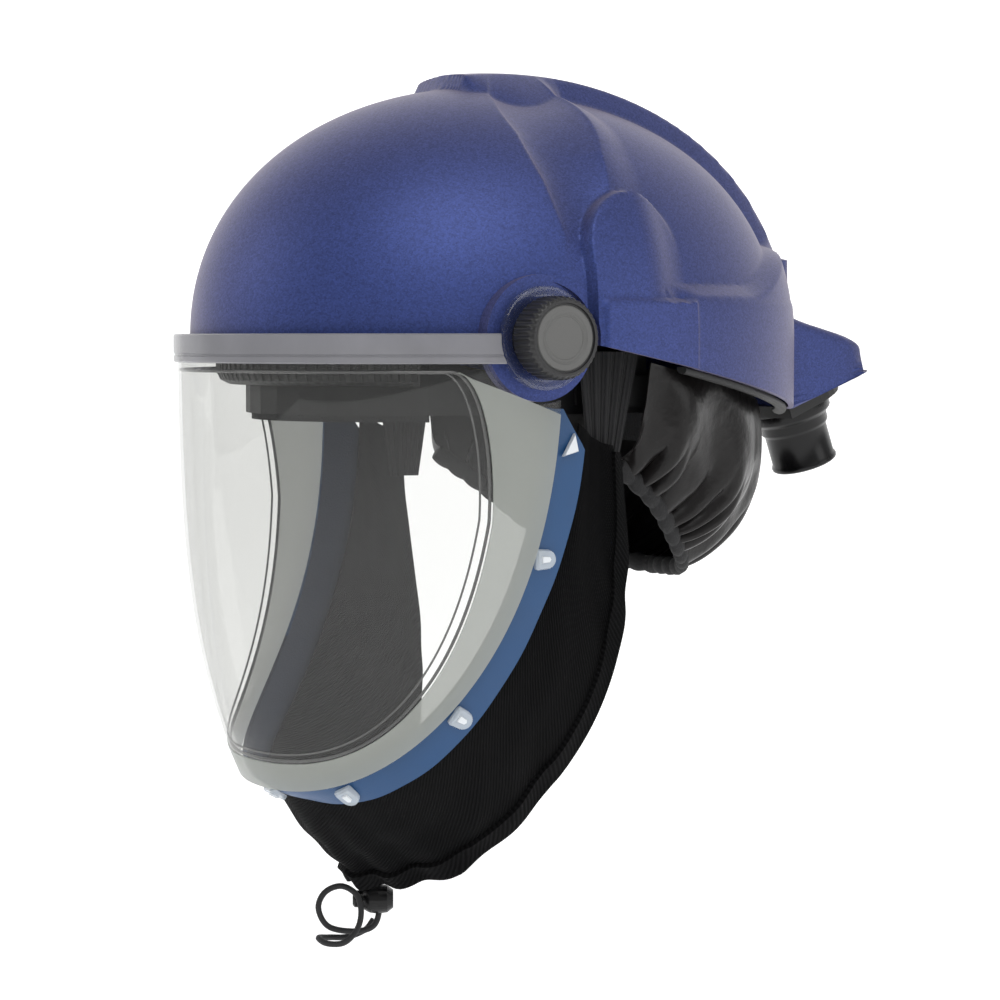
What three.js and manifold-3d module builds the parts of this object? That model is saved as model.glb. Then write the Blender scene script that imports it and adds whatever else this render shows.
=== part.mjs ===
// Head-top of a powered air respirator: a bump-cap helmet with an air plenum and a hose inlet at the back,
// a visor that lifts on two knobs, a blue edge gasket with clips, a cloth face seal with a drawcord, a neck
// cape, and a size-adjustable head harness inside.
//
// Millimetres. +Z is up, -Y is the way the wearer faces and +X is the wearer's left. The origin is on the
// visor's pivot axis, midway between the two knobs and inside the wearer's head.
import * as THREE from "three";
import { mergeVertices } from "three/addons/utils/BufferGeometryUtils.js";
import Module from "manifold-3d";

const wasm = await Module();
wasm.setup();

// ---------------------------------------------------------------- driving sizes
const GAP = 0.3; // between pieces that touch

// Helmet shell: an egg-shaped dome in plan, higher at the back by its own centre.
const SHELL_HALF_WIDTH = 112;
const SHELL_HALF_LENGTH = 151;
const SHELL_CENTRE_Y = 43;
const SHELL_HEIGHT = 118;
const SHELL_ROUNDNESS = 2.1; // power of the dome's side profile, 2 is an ellipse
const SHELL_WALL = 2.6;
const RIM_Z = -3;
const RIM_BEND_Y = 24; // where the rim starts to fall towards the back
const RIM_FALL = 0.2; // how far it falls for each millimetre back
const TRIM_FROM = 103; // degrees round from the front
const TRIM_TO = 155;
const PLENUM_SEAL_FROM = 108;
const PLENUM_SEAL_TO = 168; // stops short of the inlet
const PLENUM_DEPTH = 12; // air space between the shell and the liner
const LINER_WALL = 2;

// Duct ridge along the crown, and the tail that the hose enters.
const RIDGE_HEIGHT = 6.5;
const RIDGE_HALF_WIDTH = 20;
const TAIL_HALF_WIDTH = 38;
const TAIL_LENGTH = 49; // how far the tail stands out behind the dome
const TAIL_RISE = 9; // top of the tail above the pivot axis
const INLET_TILT = 19.8; // degrees that the hose inlet leans back from straight down
const INLET_Y = 220;
const INLET_Z = -31;
const BASE_THICKNESS = 6;

// Hose inlet.
const INLET_BORE = 12.5;
const INLET_RADIUS = 16.2;
const INLET_COLLAR_RADIUS = 19.4;
const INLET_LENGTH = 36; // below the base plate
const INLET_CLEARANCE = 0.35;
const BASE_RING_RADIUS = 25;
const BASE_RING_HEIGHT = 3;

// Visor pivots.
const BOSS_INSET = 5.5; // of the boss's face from the shell's side
const BOSS_RADIUS = 27;
const BOSS_DEPTH = 6;
const POCKET_RADIUS = 24.5;
const STUD_RADIUS = 4;
const STUD_CLEARANCE = 0.3;
const WASHER_THICKNESS = 1.2;
const WASHER_RADIUS = 15;
const EAR_THICKNESS = 3;
const EAR_RADIUS = 22.5;
const KNOB_RADIUS = 18;
const KNOB_LENGTH = 14.5;
const KNOB_RIBS = 24;
const KNOB_RIB_DEPTH = 0.9;
const KNOB_CAP_RADIUS = 14.5;
const KNOB_CAP_THICKNESS = 1.6;

// Visor: a curved sheet that narrows and draws back towards the chin.
const VISOR_DEPTH = 110.5; // from the pivot axis forward to its outer face
const VISOR_HEIGHT = 203;
const VISOR_SIDE_TAPER = 27;
const VISOR_FRONT_TAPER = 28;
const VISOR_EDGE_ANGLE = 95; // degrees round from the front to its side edge
const LENS_THICKNESS = 1.6;
const BORDER_THICKNESS = 1.2;
const BORDER_STANDOFF = 0.9;
const BAND_TOP_Z = 2;
const BAND_BOTTOM_Z = -11;
const BAND_PROUD = 3.5;
const BAND_WALL = 3.2;
const WINDOW_ANGLE = 82;
const WINDOW_BOTTOM_Z = -193;

// Edge gasket and its clips.
const GASKET_THICKNESS = 2;
const GASKET_STANDOFF = 0.8; // behind the lens
const GASKET_LAP = 5; // hidden behind the visor frame
const GASKET_SIDE_WIDTH = 18;
const GASKET_CHIN_WIDTH = 13;
const GASKET_START = 0.05; // share of the edge, from the pivot height, where the gasket begins
const CLIP_LENGTH = 10;
const CLIP_WIDTH = 8;
const CLIP_THICKNESS = 2.4;
const CLIP_STANDOFF = 0.6;
const CLIP_TURNS = [0.8, 0.49, 0.18]; // share of the way from the chin to the gasket's end
const HOOK_TURN = 0.95;
const HOOK_STANDOFF = 0.6; // further out than the clips

// Cloth pieces.
const CLOTH = 1.2;
const SEAL_LAP = 3; // hidden behind the gasket
const SEAL_STANDOFF = 2.6; // from the back of the gasket to the middle of the cloth
const CHIN_DROP = 47; // of the cloth's neck edge below the visor's chin
const HEM_THICKNESS = 1.8;
const CAPE_INSET = 13; // in from the shell's rim
const CAPE_FRONT = 99; // degrees round from the front
const CAPE_HEM_RADIUS = 2.6;
const CAPE_HEM_LAP = 4.5; // from the cape's edge to the middle of its hem

// Brow duct.
const DUCT_HALF_WIDTH = 90;
const DUCT_REACH = 95;
const DUCT_DEPTH = 11;
const DUCT_ANGLE = 62;
const DUCT_TOP_Z = -1;
const DUCT_LOW_Z = -21;

// Head harness.
const BAND_HALF_WIDTH = 79; // inside face of the headband at the temples
const BAND_FRONT_Y = -80;
const BAND_CENTRE_Y = 20;
const BAND_END_Y = 75;
const BAND_THICKNESS = 2;
const BAND_HEIGHT = 20;
const BAND_LOW_Z = -34;
const NAPE_OVERLAP = 30;
const NAPE_REACH = 38; // how far the nape band bows out behind its straight arms
const NAPE_DROP = 12;
const STRAP_WIDTH = 18;
const STRAP_THICKNESS = 1.6;
const STRAP_INSET = 1; // of the straps' ends from the headband's inside face
const STRAP_HALF_LENGTH = 121;
const STRAP_LOW_Z = -9;
const STRAP_RISE = 97;
const PAD_THICKNESS = 5;
const HANGER_THICKNESS = 2;
const HANGER_CLEARANCE = 1.2; // below the liner's curve
const HANGER_FRONT_Y = 34;
const HANGER_REAR_Y = 72;
const HANGER_HOLE_RADIUS = 2.6;
const HANGER_HOLES_Y = 50;
const HANGER_HOLES_Z = -5;
const RATCHET_KNOB_RADIUS = 14;
const RATCHET_KNOB_LENGTH = 9;
const RATCHET_RIBS = 18;
const RATCHET_SHAFT_RADIUS = 3;

// Drawcord and its lock.
const CORD_RADIUS = 1.4;
const CORD_CLEARANCE = 0.4;
const LOCK_RADIUS = 7;
const LOCK_LENGTH = 14;
const PLUNGER_RADIUS = 4;
const PLUNGER_CLEARANCE = 0.3;
const PLUNGER_PROUD = 5;
const PLUNGER_TRAVEL = 3;

// ---------------------------------------------------------------- worked-out sizes
const DEG = Math.PI / 180;
const BOSS_FACE_X = SHELL_HALF_WIDTH - BOSS_INSET;
const STRAP_HALF_SPAN = BAND_HALF_WIDTH - STRAP_INSET;
const EAR_X = BOSS_FACE_X + GAP + WASHER_THICKNESS + GAP; // inner face of the visor's ear
const VISOR_HALF_WIDTH = EAR_X + EAR_THICKNESS;
const KNOB_X = VISOR_HALF_WIDTH + GAP;
const SHELL_REAR_Y = SHELL_CENTRE_Y + SHELL_HALF_LENGTH;
const TAIL_END_Y = SHELL_REAR_Y + TAIL_LENGTH;
const INLET_DOWN = new THREE.Vector3(0, Math.sin(INLET_TILT * DEG), -Math.cos(INLET_TILT * DEG));

// ---------------------------------------------------------------- building blocks
const V = (x, y, z) => new THREE.Vector3(x, y, z);
const mix = (a, b, t) => a + (b - a) * t;
const smooth = (t) => THREE.MathUtils.smoothstep(t, 0, 1);
const signedPower = (x, p) => Math.sign(x) * Math.abs(x) ** p;

// A closed geometry from a list of triangles, each three points. Points that coincide are shared, and the
// faces are turned to point outwards.
function closedGeometry(triangles) {
  const ids = new Map();
  const coordinates = [];
  const faces = [];
  const idOf = (p) => {
    const key = [p.x, p.y, p.z].map((c) => Math.round(c * 1000)).join();
    if (!ids.has(key)) {
      ids.set(key, ids.size);
      coordinates.push(p.x, p.y, p.z);
    }
    return ids.get(key);
  };
  let volume = 0;
  for (const triangle of triangles) {
    const [a, b, c] = triangle.map(idOf);
    if (a === b || b === c || c === a) continue;
    faces.push([a, b, c]);
    volume += triangle[0].dot(triangle[1].clone().cross(triangle[2]));
  }
  if (volume < 0) faces.forEach((f) => f.reverse());
  const geometry = new THREE.BufferGeometry();
  geometry.setAttribute("position", new THREE.Float32BufferAttribute(coordinates, 3));
  geometry.setIndex(faces.flat());
  return geometry;
}

const quad = (a, b, c, d) => [[a, b, c], [a, c, d]];

// A curved plate: point(u, v, side) gives its outer (side 0) and inner (side 1) surface, and its edges are
// closed. With wrap, u runs round and meets itself.
function plate(nu, nv, point, wrap = false) {
  const grid = [0, 1].map((side) =>
    Array.from({ length: nu + 1 }, (_, i) =>
      Array.from({ length: nv + 1 }, (_, j) => point(wrap ? (i % nu) / nu : i / nu, j / nv, side))));
  const [out, inn] = grid;
  const triangles = [];
  for (let i = 0; i < nu; i++) {
    for (let j = 0; j < nv; j++) {
      triangles.push(...quad(out[i][j], out[i + 1][j], out[i + 1][j + 1], out[i][j + 1]));
      triangles.push(...quad(inn[i][j], inn[i][j + 1], inn[i + 1][j + 1], inn[i + 1][j]));
    }
    triangles.push(...quad(out[i + 1][0], out[i][0], inn[i][0], inn[i + 1][0]));
    triangles.push(...quad(out[i][nv], out[i + 1][nv], inn[i + 1][nv], inn[i][nv]));
  }
  for (let j = 0; j < nv && !wrap; j++) {
    triangles.push(...quad(out[0][j], out[0][j + 1], inn[0][j + 1], inn[0][j]));
    triangles.push(...quad(out[nu][j + 1], out[nu][j], inn[nu][j], inn[nu][j + 1]));
  }
  return closedGeometry(triangles);
}

// A sheet of even thickness round a middle surface.
function sheet(nu, nv, surface, thickness) {
  const step = 0.004;
  return plate(nu, nv, (u, v, side) => {
    const alongU = surface(Math.min(u + step, 1), v).sub(surface(Math.max(u - step, 0), v));
    const alongV = surface(u, Math.min(v + step, 1)).sub(surface(u, Math.max(v - step, 0)));
    const normal = alongU.cross(alongV).normalize();
    return surface(u, v).addScaledVector(normal, side ? -thickness / 2 : thickness / 2);
  });
}

// A solid between equal rings of points; the ends are closed unless the last ring meets the first.
function loft(rings, closed = false) {
  const triangles = [];
  const count = rings.length;
  for (let i = 0; i < (closed ? count : count - 1); i++) {
    const here = rings[i];
    const next = rings[(i + 1) % count];
    here.forEach((p, k) => {
      const l = (k + 1) % here.length;
      triangles.push(...quad(p, next[k], next[l], here[l]));
    });
  }
  if (!closed) {
    for (const [ring, first] of [[rings[0], true], [rings[count - 1], false]]) {
      const middle = ring.reduce((sum, p) => sum.add(p), V(0, 0, 0)).divideScalar(ring.length);
      ring.forEach((p, k) => {
        const q = ring[(k + 1) % ring.length];
        triangles.push(first ? [middle, p, q] : [middle, q, p]);
      });
    }
  }
  return closedGeometry(triangles);
}

function toSolid(geometry) {
  const bare = (geometry.index ? geometry.toNonIndexed() : geometry.clone());
  for (const name of Object.keys(bare.attributes)) if (name !== "position") bare.deleteAttribute(name);
  const merged = mergeVertices(bare, 1e-3);
  const vertProperties = new Float32Array(merged.attributes.position.array);
  const triVerts = new Uint32Array(merged.index.array);
  return new wasm.Manifold(new wasm.Mesh({ numProp: 3, vertProperties, triVerts }));
}

function toGeometry(solid) {
  const mesh = solid.getMesh();
  const geometry = new THREE.BufferGeometry();
  geometry.setAttribute("position", new THREE.Float32BufferAttribute(mesh.vertProperties, 3));
  geometry.setIndex([...mesh.triVerts]);
  return geometry;
}

const join = (first, ...rest) => toGeometry(rest.reduce((sum, g) => sum.add(toSolid(g)), toSolid(first)));
const cut = (first, ...rest) => toGeometry(rest.reduce((left, g) => left.subtract(toSolid(g)), toSolid(first)));
const common = (first, second) => toGeometry(toSolid(first).intersect(toSolid(second)));

// A cylinder along X between two places.
function rodX(radius, fromX, toX, sides = 32, y = 0, z = 0) {
  const rod = new THREE.CylinderGeometry(radius, radius, Math.abs(toX - fromX), sides);
  return rod.rotateZ(Math.PI / 2).translate((fromX + toX) / 2, y, z);
}

function box(fromX, toX, fromY, toY, fromZ, toZ) {
  const made = new THREE.BoxGeometry(toX - fromX, toY - fromY, toZ - fromZ);
  return made.translate((fromX + toX) / 2, (fromY + toY) / 2, (fromZ + toZ) / 2);
}

// A solid turned about +Z from a closed outline of [radius, z] points, in order round the outline.
function turned(outline, sides = 24) {
  const points = [...outline, outline[0]].map(([r, z]) => new THREE.Vector2(r, z));
  const made = new THREE.LatheGeometry(points, sides).rotateX(Math.PI / 2);
  const solid = toSolid(made);
  return solid.volume() < 0 ? flipped(made) : toGeometry(solid);
}

function flipped(geometry) {
  const bare = geometry.index ? geometry.toNonIndexed() : geometry;
  const p = bare.attributes.position;
  const triangles = [];
  for (let i = 0; i < p.count; i += 3) {
    triangles.push([0, 2, 1].map((k) => new THREE.Vector3().fromBufferAttribute(p, i + k)));
  }
  return closedGeometry(triangles);
}

// A ribbed disc about +Z, from z = 0 up to its height.
function ribbedDisc(radius, ribs, depth, height) {
  const outline = new THREE.Shape();
  const steps = ribs * 2;
  for (let i = 0; i < steps; i++) {
    const r = i % 2 ? radius - depth : radius;
    const a = (i / steps) * 2 * Math.PI;
    if (i) outline.lineTo(r * Math.cos(a), r * Math.sin(a));
    else outline.moveTo(r, 0);
  }
  return new THREE.ExtrudeGeometry(outline, { depth: height, bevelEnabled: false });
}

const material = (colour, roughness, metalness = 0, opacity = 1) =>
  new THREE.MeshStandardMaterial({ color: colour, roughness, metalness, opacity, transparent: opacity < 1 });
const paintedBlue = material(0x2a3a8c, 0.4, 0.5);
const blackPlastic = material(0x17171a, 0.5);
const greyPlastic = material(0x55565a, 0.6);
const rubber = material(0x26262a, 0.8);
const clearPlastic = material(0xf2f5f4, 0.08, 0, 0.3);
const frostedPlastic = material(0xb9bab6, 0.45, 0, 0.7);
const blueVinyl = material(0x244f8c, 0.5);
const twill = material(0x121214, 0.9);
const coatedCloth = material(0x3a3738, 0.45);
const knit = material(0x0f0f10, 0.95);
const foam = material(0x1c1c1f, 0.95);
const steel = material(0xb5b7ba, 0.35, 1);

const helmet = new THREE.Group();
function add(name, geometry, finish) {
  const mesh = new THREE.Mesh(geometry, finish);
  mesh.name = name;
  helmet.add(mesh);
}
// The same piece for the wearer's left (+X) and right (-X).
function addPair(name, finish, make) {
  add(name + "_left", make(), finish);
  add(name + "_right", flipped(make().scale(-1, 1, 1)), finish);
}

// ---------------------------------------------------------------- helmet shell
const rimZ = (y) => RIM_Z - RIM_FALL * Math.max(y - RIM_BEND_Y, 0);

// A point of the dome, phi round from the front towards the wearer's left, rise 0 at the rim and 1 at the
// crown. inset moves it inwards and rim sets the lowest height.
function domePoint(phi, rise, inset, rim) {
  const low = rim(SHELL_CENTRE_Y - SHELL_HALF_LENGTH * Math.cos(phi));
  const height = SHELL_HEIGHT - inset;
  const z = low + (height - low) * Math.sin((rise * Math.PI) / 2);
  const up = Math.max(z, 0) / height;
  const reach = Math.max(1 - up ** SHELL_ROUNDNESS, 0) ** (1 / SHELL_ROUNDNESS);
  return V(
    (SHELL_HALF_WIDTH - inset) * reach * Math.sin(phi),
    SHELL_CENTRE_Y - (SHELL_HALF_LENGTH - inset) * reach * Math.cos(phi),
    z,
  );
}

// The whole volume under a dome surface, its bottom lowered by extra.
function domeBody(inset, extra = 0, around = 44, up = 8) {
  const rim = (y) => rimZ(y) - extra;
  const floor = rimZ(SHELL_CENTRE_Y) - extra;
  const ring = (rise) => Array.from({ length: around }, (_, i) =>
    domePoint((i / around) * 2 * Math.PI, rise, inset, rim));
  const rings = Array.from({ length: up }, (_, j) => ring(j / up));
  const triangles = [];
  const crown = V(0, SHELL_CENTRE_Y, SHELL_HEIGHT - inset);
  const middle = V(0, SHELL_CENTRE_Y, floor);
  for (let i = 0; i < around; i++) {
    const k = (i + 1) % around;
    for (let j = 0; j < up - 1; j++) {
      triangles.push(...quad(rings[j][i], rings[j][k], rings[j + 1][k], rings[j + 1][i]));
    }
    triangles.push([rings[up - 1][i], rings[up - 1][k], crown], [middle, rings[0][k], rings[0][i]]);
  }
  return closedGeometry(triangles);
}


// Duct ridge: a low flat-topped band along the centre plane, from the crown to the tail.
function ridge() {
  const steps = 22;
  const rings = [];
  for (let i = 0; i <= steps; i++) {
    const angle = mix(-17, 88, i / steps) * DEG; // seen from the dome's centre, back from straight up
    const base = V(0, SHELL_CENTRE_Y + SHELL_HALF_LENGTH * signedPower(Math.sin(angle), 2 / SHELL_ROUNDNESS),
      SHELL_HEIGHT * Math.abs(Math.cos(angle)) ** (2 / SHELL_ROUNDNESS));
    const out = V(0, Math.sin(angle), Math.cos(angle) * (SHELL_HALF_LENGTH / SHELL_HEIGHT)).normalize();
    const high = RIDGE_HEIGHT * smooth(Math.min(i / 3, 1)) + 0.4;
    const wide = RIDGE_HALF_WIDTH * (1 + 0.35 * smooth(i / steps));
    const at = (x, rise) => base.clone().addScaledVector(out, rise).setX(x);
    rings.push([at(-wide - 5, -14), at(wide + 5, -14), at(wide + 5, -5), at(wide, high), at(-wide, high),
      at(-wide - 5, -5)]);
  }
  return loft(rings);
}

// Tail: where the side outline and the plan outline meet. inset makes the cavity, and extra opens it below.
function tail(inset, extra = 0) {
  const slope = Math.tan(INLET_TILT * DEG);
  const aboveBase = BASE_THICKNESS / Math.cos(INLET_TILT * DEG) + GAP;
  const floorAt = (y) => INLET_Z + slope * (y - INLET_Y) + aboveBase - extra;
  const end = TAIL_END_Y - inset;
  const top = TAIL_RISE - inset;
  const front = SHELL_REAR_Y - 30;
  const side = new THREE.Shape();
  side.moveTo(front, floorAt(front));
  side.lineTo(end, floorAt(end));
  side.lineTo(end, floorAt(end) + extra + 1);
  side.lineTo(end - 11, top - 11);
  side.quadraticCurveTo(end - 16, top - 3, end - 26, top - 1);
  side.lineTo(front, top + 1);
  const depth = 4 * TAIL_HALF_WIDTH;
  const across = new THREE.ExtrudeGeometry(side, { depth, bevelEnabled: false, curveSegments: 5 });
  across.applyMatrix4(new THREE.Matrix4().makeBasis(V(0, 1, 0), V(0, 0, 1), V(1, 0, 0)));
  across.translate(-2 * TAIL_HALF_WIDTH, 0, 0);
  const wide = TAIL_HALF_WIDTH - inset;
  const plan = new THREE.Shape();
  plan.moveTo(-wide - 3, front);
  plan.lineTo(-wide + 3, end - 28);
  plan.quadraticCurveTo(-wide + 8, end, 0, end);
  plan.quadraticCurveTo(wide - 8, end, wide - 3, end - 28);
  plan.lineTo(wide + 3, front);
  const upright = new THREE.ExtrudeGeometry(plan, { depth: 200, bevelEnabled: false, curveSegments: 8 });
  return common(across, upright.translate(0, 0, -130));
}

function outerShell() {
  const outside = join(domeBody(0), ridge(), tail(0));
  const hollow = cut(outside, domeBody(SHELL_WALL, 40), tail(SHELL_WALL, 40));
  const bosses = [1, -1].map((side) => {
    const inner = side * (BOSS_FACE_X - BOSS_DEPTH);
    const flush = common(rodX(BOSS_RADIUS, inner, side * (SHELL_HALF_WIDTH + 4)), domeBody(0));
    return join(rodX(BOSS_RADIUS, inner, side * BOSS_FACE_X), flush);
  });
  const past = SHELL_HALF_WIDTH + 9;
  const lowered = box(-past, past, -BOSS_RADIUS - 1, BOSS_RADIUS + 1, -60, -POCKET_RADIUS + 4);
  const pockets = [1, -1].map((side) => rodX(POCKET_RADIUS, side * BOSS_FACE_X, side * past));
  const bores = [1, -1].map((side) => rodX(STUD_RADIUS + GAP, side * (BOSS_FACE_X - 20), side * past, 20));
  return cut(join(hollow, ...bosses), lowered, ...pockets, ...bores);
}
add("outer_shell", outerShell(), paintedBlue);

function innerLiner() {
  const outer = SHELL_WALL + PLENUM_DEPTH;
  const rim = (y) => rimZ(y) + 5;
  const at = (u, v, side) => domePoint(u * 2 * Math.PI, v, outer + side * LINER_WALL, rim);
  const dome = plate(32, 7, at, true);
  const clear = [1, -1].map((side) =>
    rodX(BOSS_RADIUS + 3, side * (BOSS_FACE_X - BOSS_DEPTH - 12), side * SHELL_HALF_WIDTH, 28));
  return cut(dome, ...clear);
}
add("inner_liner", innerLiner(), blackPlastic);

// Foam strip that closes the air space between the shell's rim and the liner's, open over the brow.
function plenumSeal() {
  const steps = 18;
  const rings = [];
  for (let i = 0; i <= steps; i++) {
    const phi = mix(PLENUM_SEAL_FROM, PLENUM_SEAL_TO, i / steps) * DEG;
    const corner = (inset, rise) => {
      const p = domePoint(phi, 0, inset, rimZ);
      return p.setZ(p.z + rise);
    };
    const inner = SHELL_WALL + PLENUM_DEPTH - 0.6;
    const outer = SHELL_WALL + 0.8;
    rings.push([corner(outer, 5.4), corner(inner, 5.4), corner(inner, 9.4), corner(outer, 9.4)]);
  }
  return loft(rings);
}
addPair("plenum_seal", foam, plenumSeal);

// Rubber edging under the rim, from behind the knob to the tail.
function edgeTrim() {
  const steps = 14;
  const rings = [];
  for (let i = 0; i <= steps; i++) {
    const phi = mix(TRIM_FROM, TRIM_TO, i / steps) * DEG;
    const corner = (inset, drop) => {
      const p = domePoint(phi, 0, inset, rimZ);
      return p.setZ(p.z - drop);
    };
    rings.push([corner(-0.6, GAP), corner(4.2, GAP), corner(4.2, 4), corner(0.6, 4.6), corner(-0.6, 3.4)]);
  }
  return loft(rings);
}
addPair("edge_trim", rubber, edgeTrim);

// ---------------------------------------------------------------- hose inlet
// Puts a solid made about +Z, with z running down the inlet, onto the inlet's axis.
function onInlet(geometry) {
  const turn = new THREE.Quaternion().setFromUnitVectors(V(0, 0, 1), INLET_DOWN);
  return geometry.applyQuaternion(turn).translate(0, INLET_Y, INLET_Z);
}

// Base plate: closes the tail from below and carries the inlet.
function rearBase() {
  const outline = new THREE.Shape();
  const wide = TAIL_HALF_WIDTH - 1.5;
  const rear = INLET_Y - TAIL_END_Y - 1;
  const front = INLET_Y - SHELL_REAR_Y + 1;
  outline.moveTo(-wide, front);
  outline.lineTo(-wide + 3, rear + 28);
  outline.quadraticCurveTo(-wide + 9, rear, 0, rear);
  outline.quadraticCurveTo(wide - 9, rear, wide - 3, rear + 28);
  outline.lineTo(wide, front);
  const depth = BASE_THICKNESS;
  const slab = new THREE.ExtrudeGeometry(outline, { depth, bevelEnabled: false, curveSegments: 8 });
  const ring = turned([[10, -1], [BASE_RING_RADIUS, -1], [BASE_RING_RADIUS - 1.5, BASE_RING_HEIGHT],
    [10, BASE_RING_HEIGHT]]);
  const bore = turned([[0, -BASE_THICKNESS - 9], [INLET_RADIUS + INLET_CLEARANCE, -BASE_THICKNESS - 9],
    [INLET_RADIUS + INLET_CLEARANCE, 20], [0, 20]]);
  return onInlet(cut(join(slab.translate(0, 0, -BASE_THICKNESS), ring), bore));
}
add("rear_base", rearBase(), blackPlastic);

// The inlet turns in the base plate, held between a snap flange above it and a shoulder below it.
function hoseSpigot() {
  const top = -BASE_THICKNESS - GAP;
  const under = BASE_RING_HEIGHT + GAP;
  const end = INLET_LENGTH;
  return onInlet(turned([
    [INLET_BORE, top - 2.4],
    [INLET_RADIUS + 2.4, top - 2.4],
    [INLET_RADIUS + 2.4, top],
    [INLET_RADIUS, top],
    [INLET_RADIUS, under],
    [INLET_COLLAR_RADIUS + 1.4, under],
    [INLET_COLLAR_RADIUS + 1.4, under + 5],
    [INLET_COLLAR_RADIUS - 1.6, under + 7.5],
    [INLET_COLLAR_RADIUS - 1.6, under + 12],
    [INLET_RADIUS, under + 13.5],
    [INLET_RADIUS, end - 3],
    [INLET_RADIUS + 1, end - 1],
    [INLET_RADIUS, end],
    [INLET_BORE, end],
  ]));
}
add("hose_spigot", hoseSpigot(), blackPlastic);

// ---------------------------------------------------------------- visor
// Outer surface of the visor at a height and an angle round from the front, moved out by `out`.
function visorPoint(angle, z, out = 0) {
  const down = Math.min(Math.max(-z / VISOR_HEIGHT, 0), 1.1);
  const half = VISOR_HALF_WIDTH - BAND_WALL - GAP - VISOR_SIDE_TAPER * down ** 1.6 + out;
  const depth = VISOR_DEPTH - VISOR_FRONT_TAPER * down ** 3.5 + out;
  return V(half * Math.sin(angle * DEG), -depth * Math.cos(angle * DEG), z);
}
// Side and lower edge of the visor, turn running from 0 at the pivot height to 1 at the chin.
function visorEdge(turn, scale = 1) {
  const t = turn * 90 * DEG;
  const angle = VISOR_EDGE_ANGLE * scale * Math.cos(t) ** (2 / 2.7);
  return [angle, -VISOR_HEIGHT * scale * Math.sin(t) ** (2 / 2.7)];
}
// A half-turn of the visor's outline at column u (0 left edge, 1 right edge) down to its lower edge.
function columnBottom(angle, widest, lowest, power) {
  return -Math.abs(lowest) * Math.max(1 - (Math.abs(angle) / widest) ** power, 0) ** (1 / power);
}
const spread = (u, widest) => widest * Math.cos(Math.PI * (1 - u));

function visorLens() {
  const panel = plate(34, 8, (u, v, side) => {
    const angle = spread(u, VISOR_EDGE_ANGLE);
    const low = Math.min(columnBottom(angle, VISOR_EDGE_ANGLE, VISOR_HEIGHT, 2.7), -4.5);
    return visorPoint(angle, mix(-4, low, v), -side * LENS_THICKNESS);
  });
  return cut(panel, rodX(BOSS_RADIUS + 1.5, -140, 140, 40));
}
add("visor_lens", visorLens(), clearPlastic);

// Frosted border: covers the lens from its edge to the window.
function visorBorder() {
  const steps = 44;
  const rings = [];
  for (let i = 0; i <= steps; i++) {
    const turn = mix(-1, 1, i / steps);
    const side = Math.sign(turn) || 1;
    const way = 1 - Math.abs(turn) * 0.945;
    const [edgeAngle, edgeZ] = visorEdge(way);
    const t = way * 90 * DEG;
    const innerAngle = WINDOW_ANGLE * Math.cos(t) ** (2 / 3.2);
    const innerZ = Math.min(WINDOW_BOTTOM_Z * Math.sin(t) ** (2 / 3.2), BAND_BOTTOM_Z - 1);
    const outerZ = Math.min(edgeZ, BAND_BOTTOM_Z - 1);
    const across = (share, out) =>
      visorPoint(side * mix(edgeAngle, innerAngle, share), mix(outerZ, innerZ, share), BORDER_STANDOFF + out);
    const top = [0, 0.5, 1].map((share) => across(share, BORDER_THICKNESS));
    rings.push([across(0, 0), ...top, across(1, 0), across(0.5, 0)]);
  }
  return cut(loft(rings), rodX(EAR_RADIUS + 0.8, -140, 140, 40));
}
add("visor_border", visorBorder(), frostedPlastic);

// Top band, flared out at its ends into a round ear on each side that turns on the pivot.
function visorFrame() {
  const half = 0.5 * 140;
  const plan = Array.from({ length: 29 }, (_, i) => mix(-half, half, i / 28) * DEG).map((angle) =>
    V(VISOR_HALF_WIDTH * Math.sin(angle), -(VISOR_DEPTH + BAND_PROUD) * Math.cos(angle), 0));
  const flare = [V(VISOR_HALF_WIDTH - 2, -BOSS_RADIUS - 0.5, 0), V(VISOR_HALF_WIDTH, -15, 0)];
  const leftEnd = flare.map((p) => p.clone().setX(-p.x)).reverse();
  const line = [...leftEnd, ...plan, ...flare];
  const rings = line.map((p, i) => {
    const along = line[Math.min(i + 1, line.length - 1)].clone().sub(line[Math.max(i - 1, 0)]);
    const inward = V(-along.y, along.x, 0).normalize().multiplyScalar(BAND_WALL);
    if (i === 0 || i === line.length - 1) inward.set(-Math.sign(p.x) * BAND_WALL, 0, 0);
    const inner = p.clone().add(inward);
    const [high, low] = [BAND_TOP_Z, BAND_BOTTOM_Z];
    return [p.clone().setZ(high), p.clone().setZ(low), inner.clone().setZ(low), inner.clone().setZ(high)];
  });
  const ears = [1, -1].map((side) => rodX(EAR_RADIUS, side * EAR_X, side * VISOR_HALF_WIDTH, 40));
  const bore = rodX(STUD_RADIUS + STUD_CLEARANCE, -140, 140, 24);
  const between = rodX(BOSS_RADIUS + 0.8, -BOSS_FACE_X - 1, BOSS_FACE_X + 1, 40);
  const flat = rodX(EAR_RADIUS, -EAR_X, EAR_X, 40);
  return cut(join(loft(rings), ...ears), between, flat, bore);
}
add("visor_frame", visorFrame(), frostedPlastic);

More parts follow.
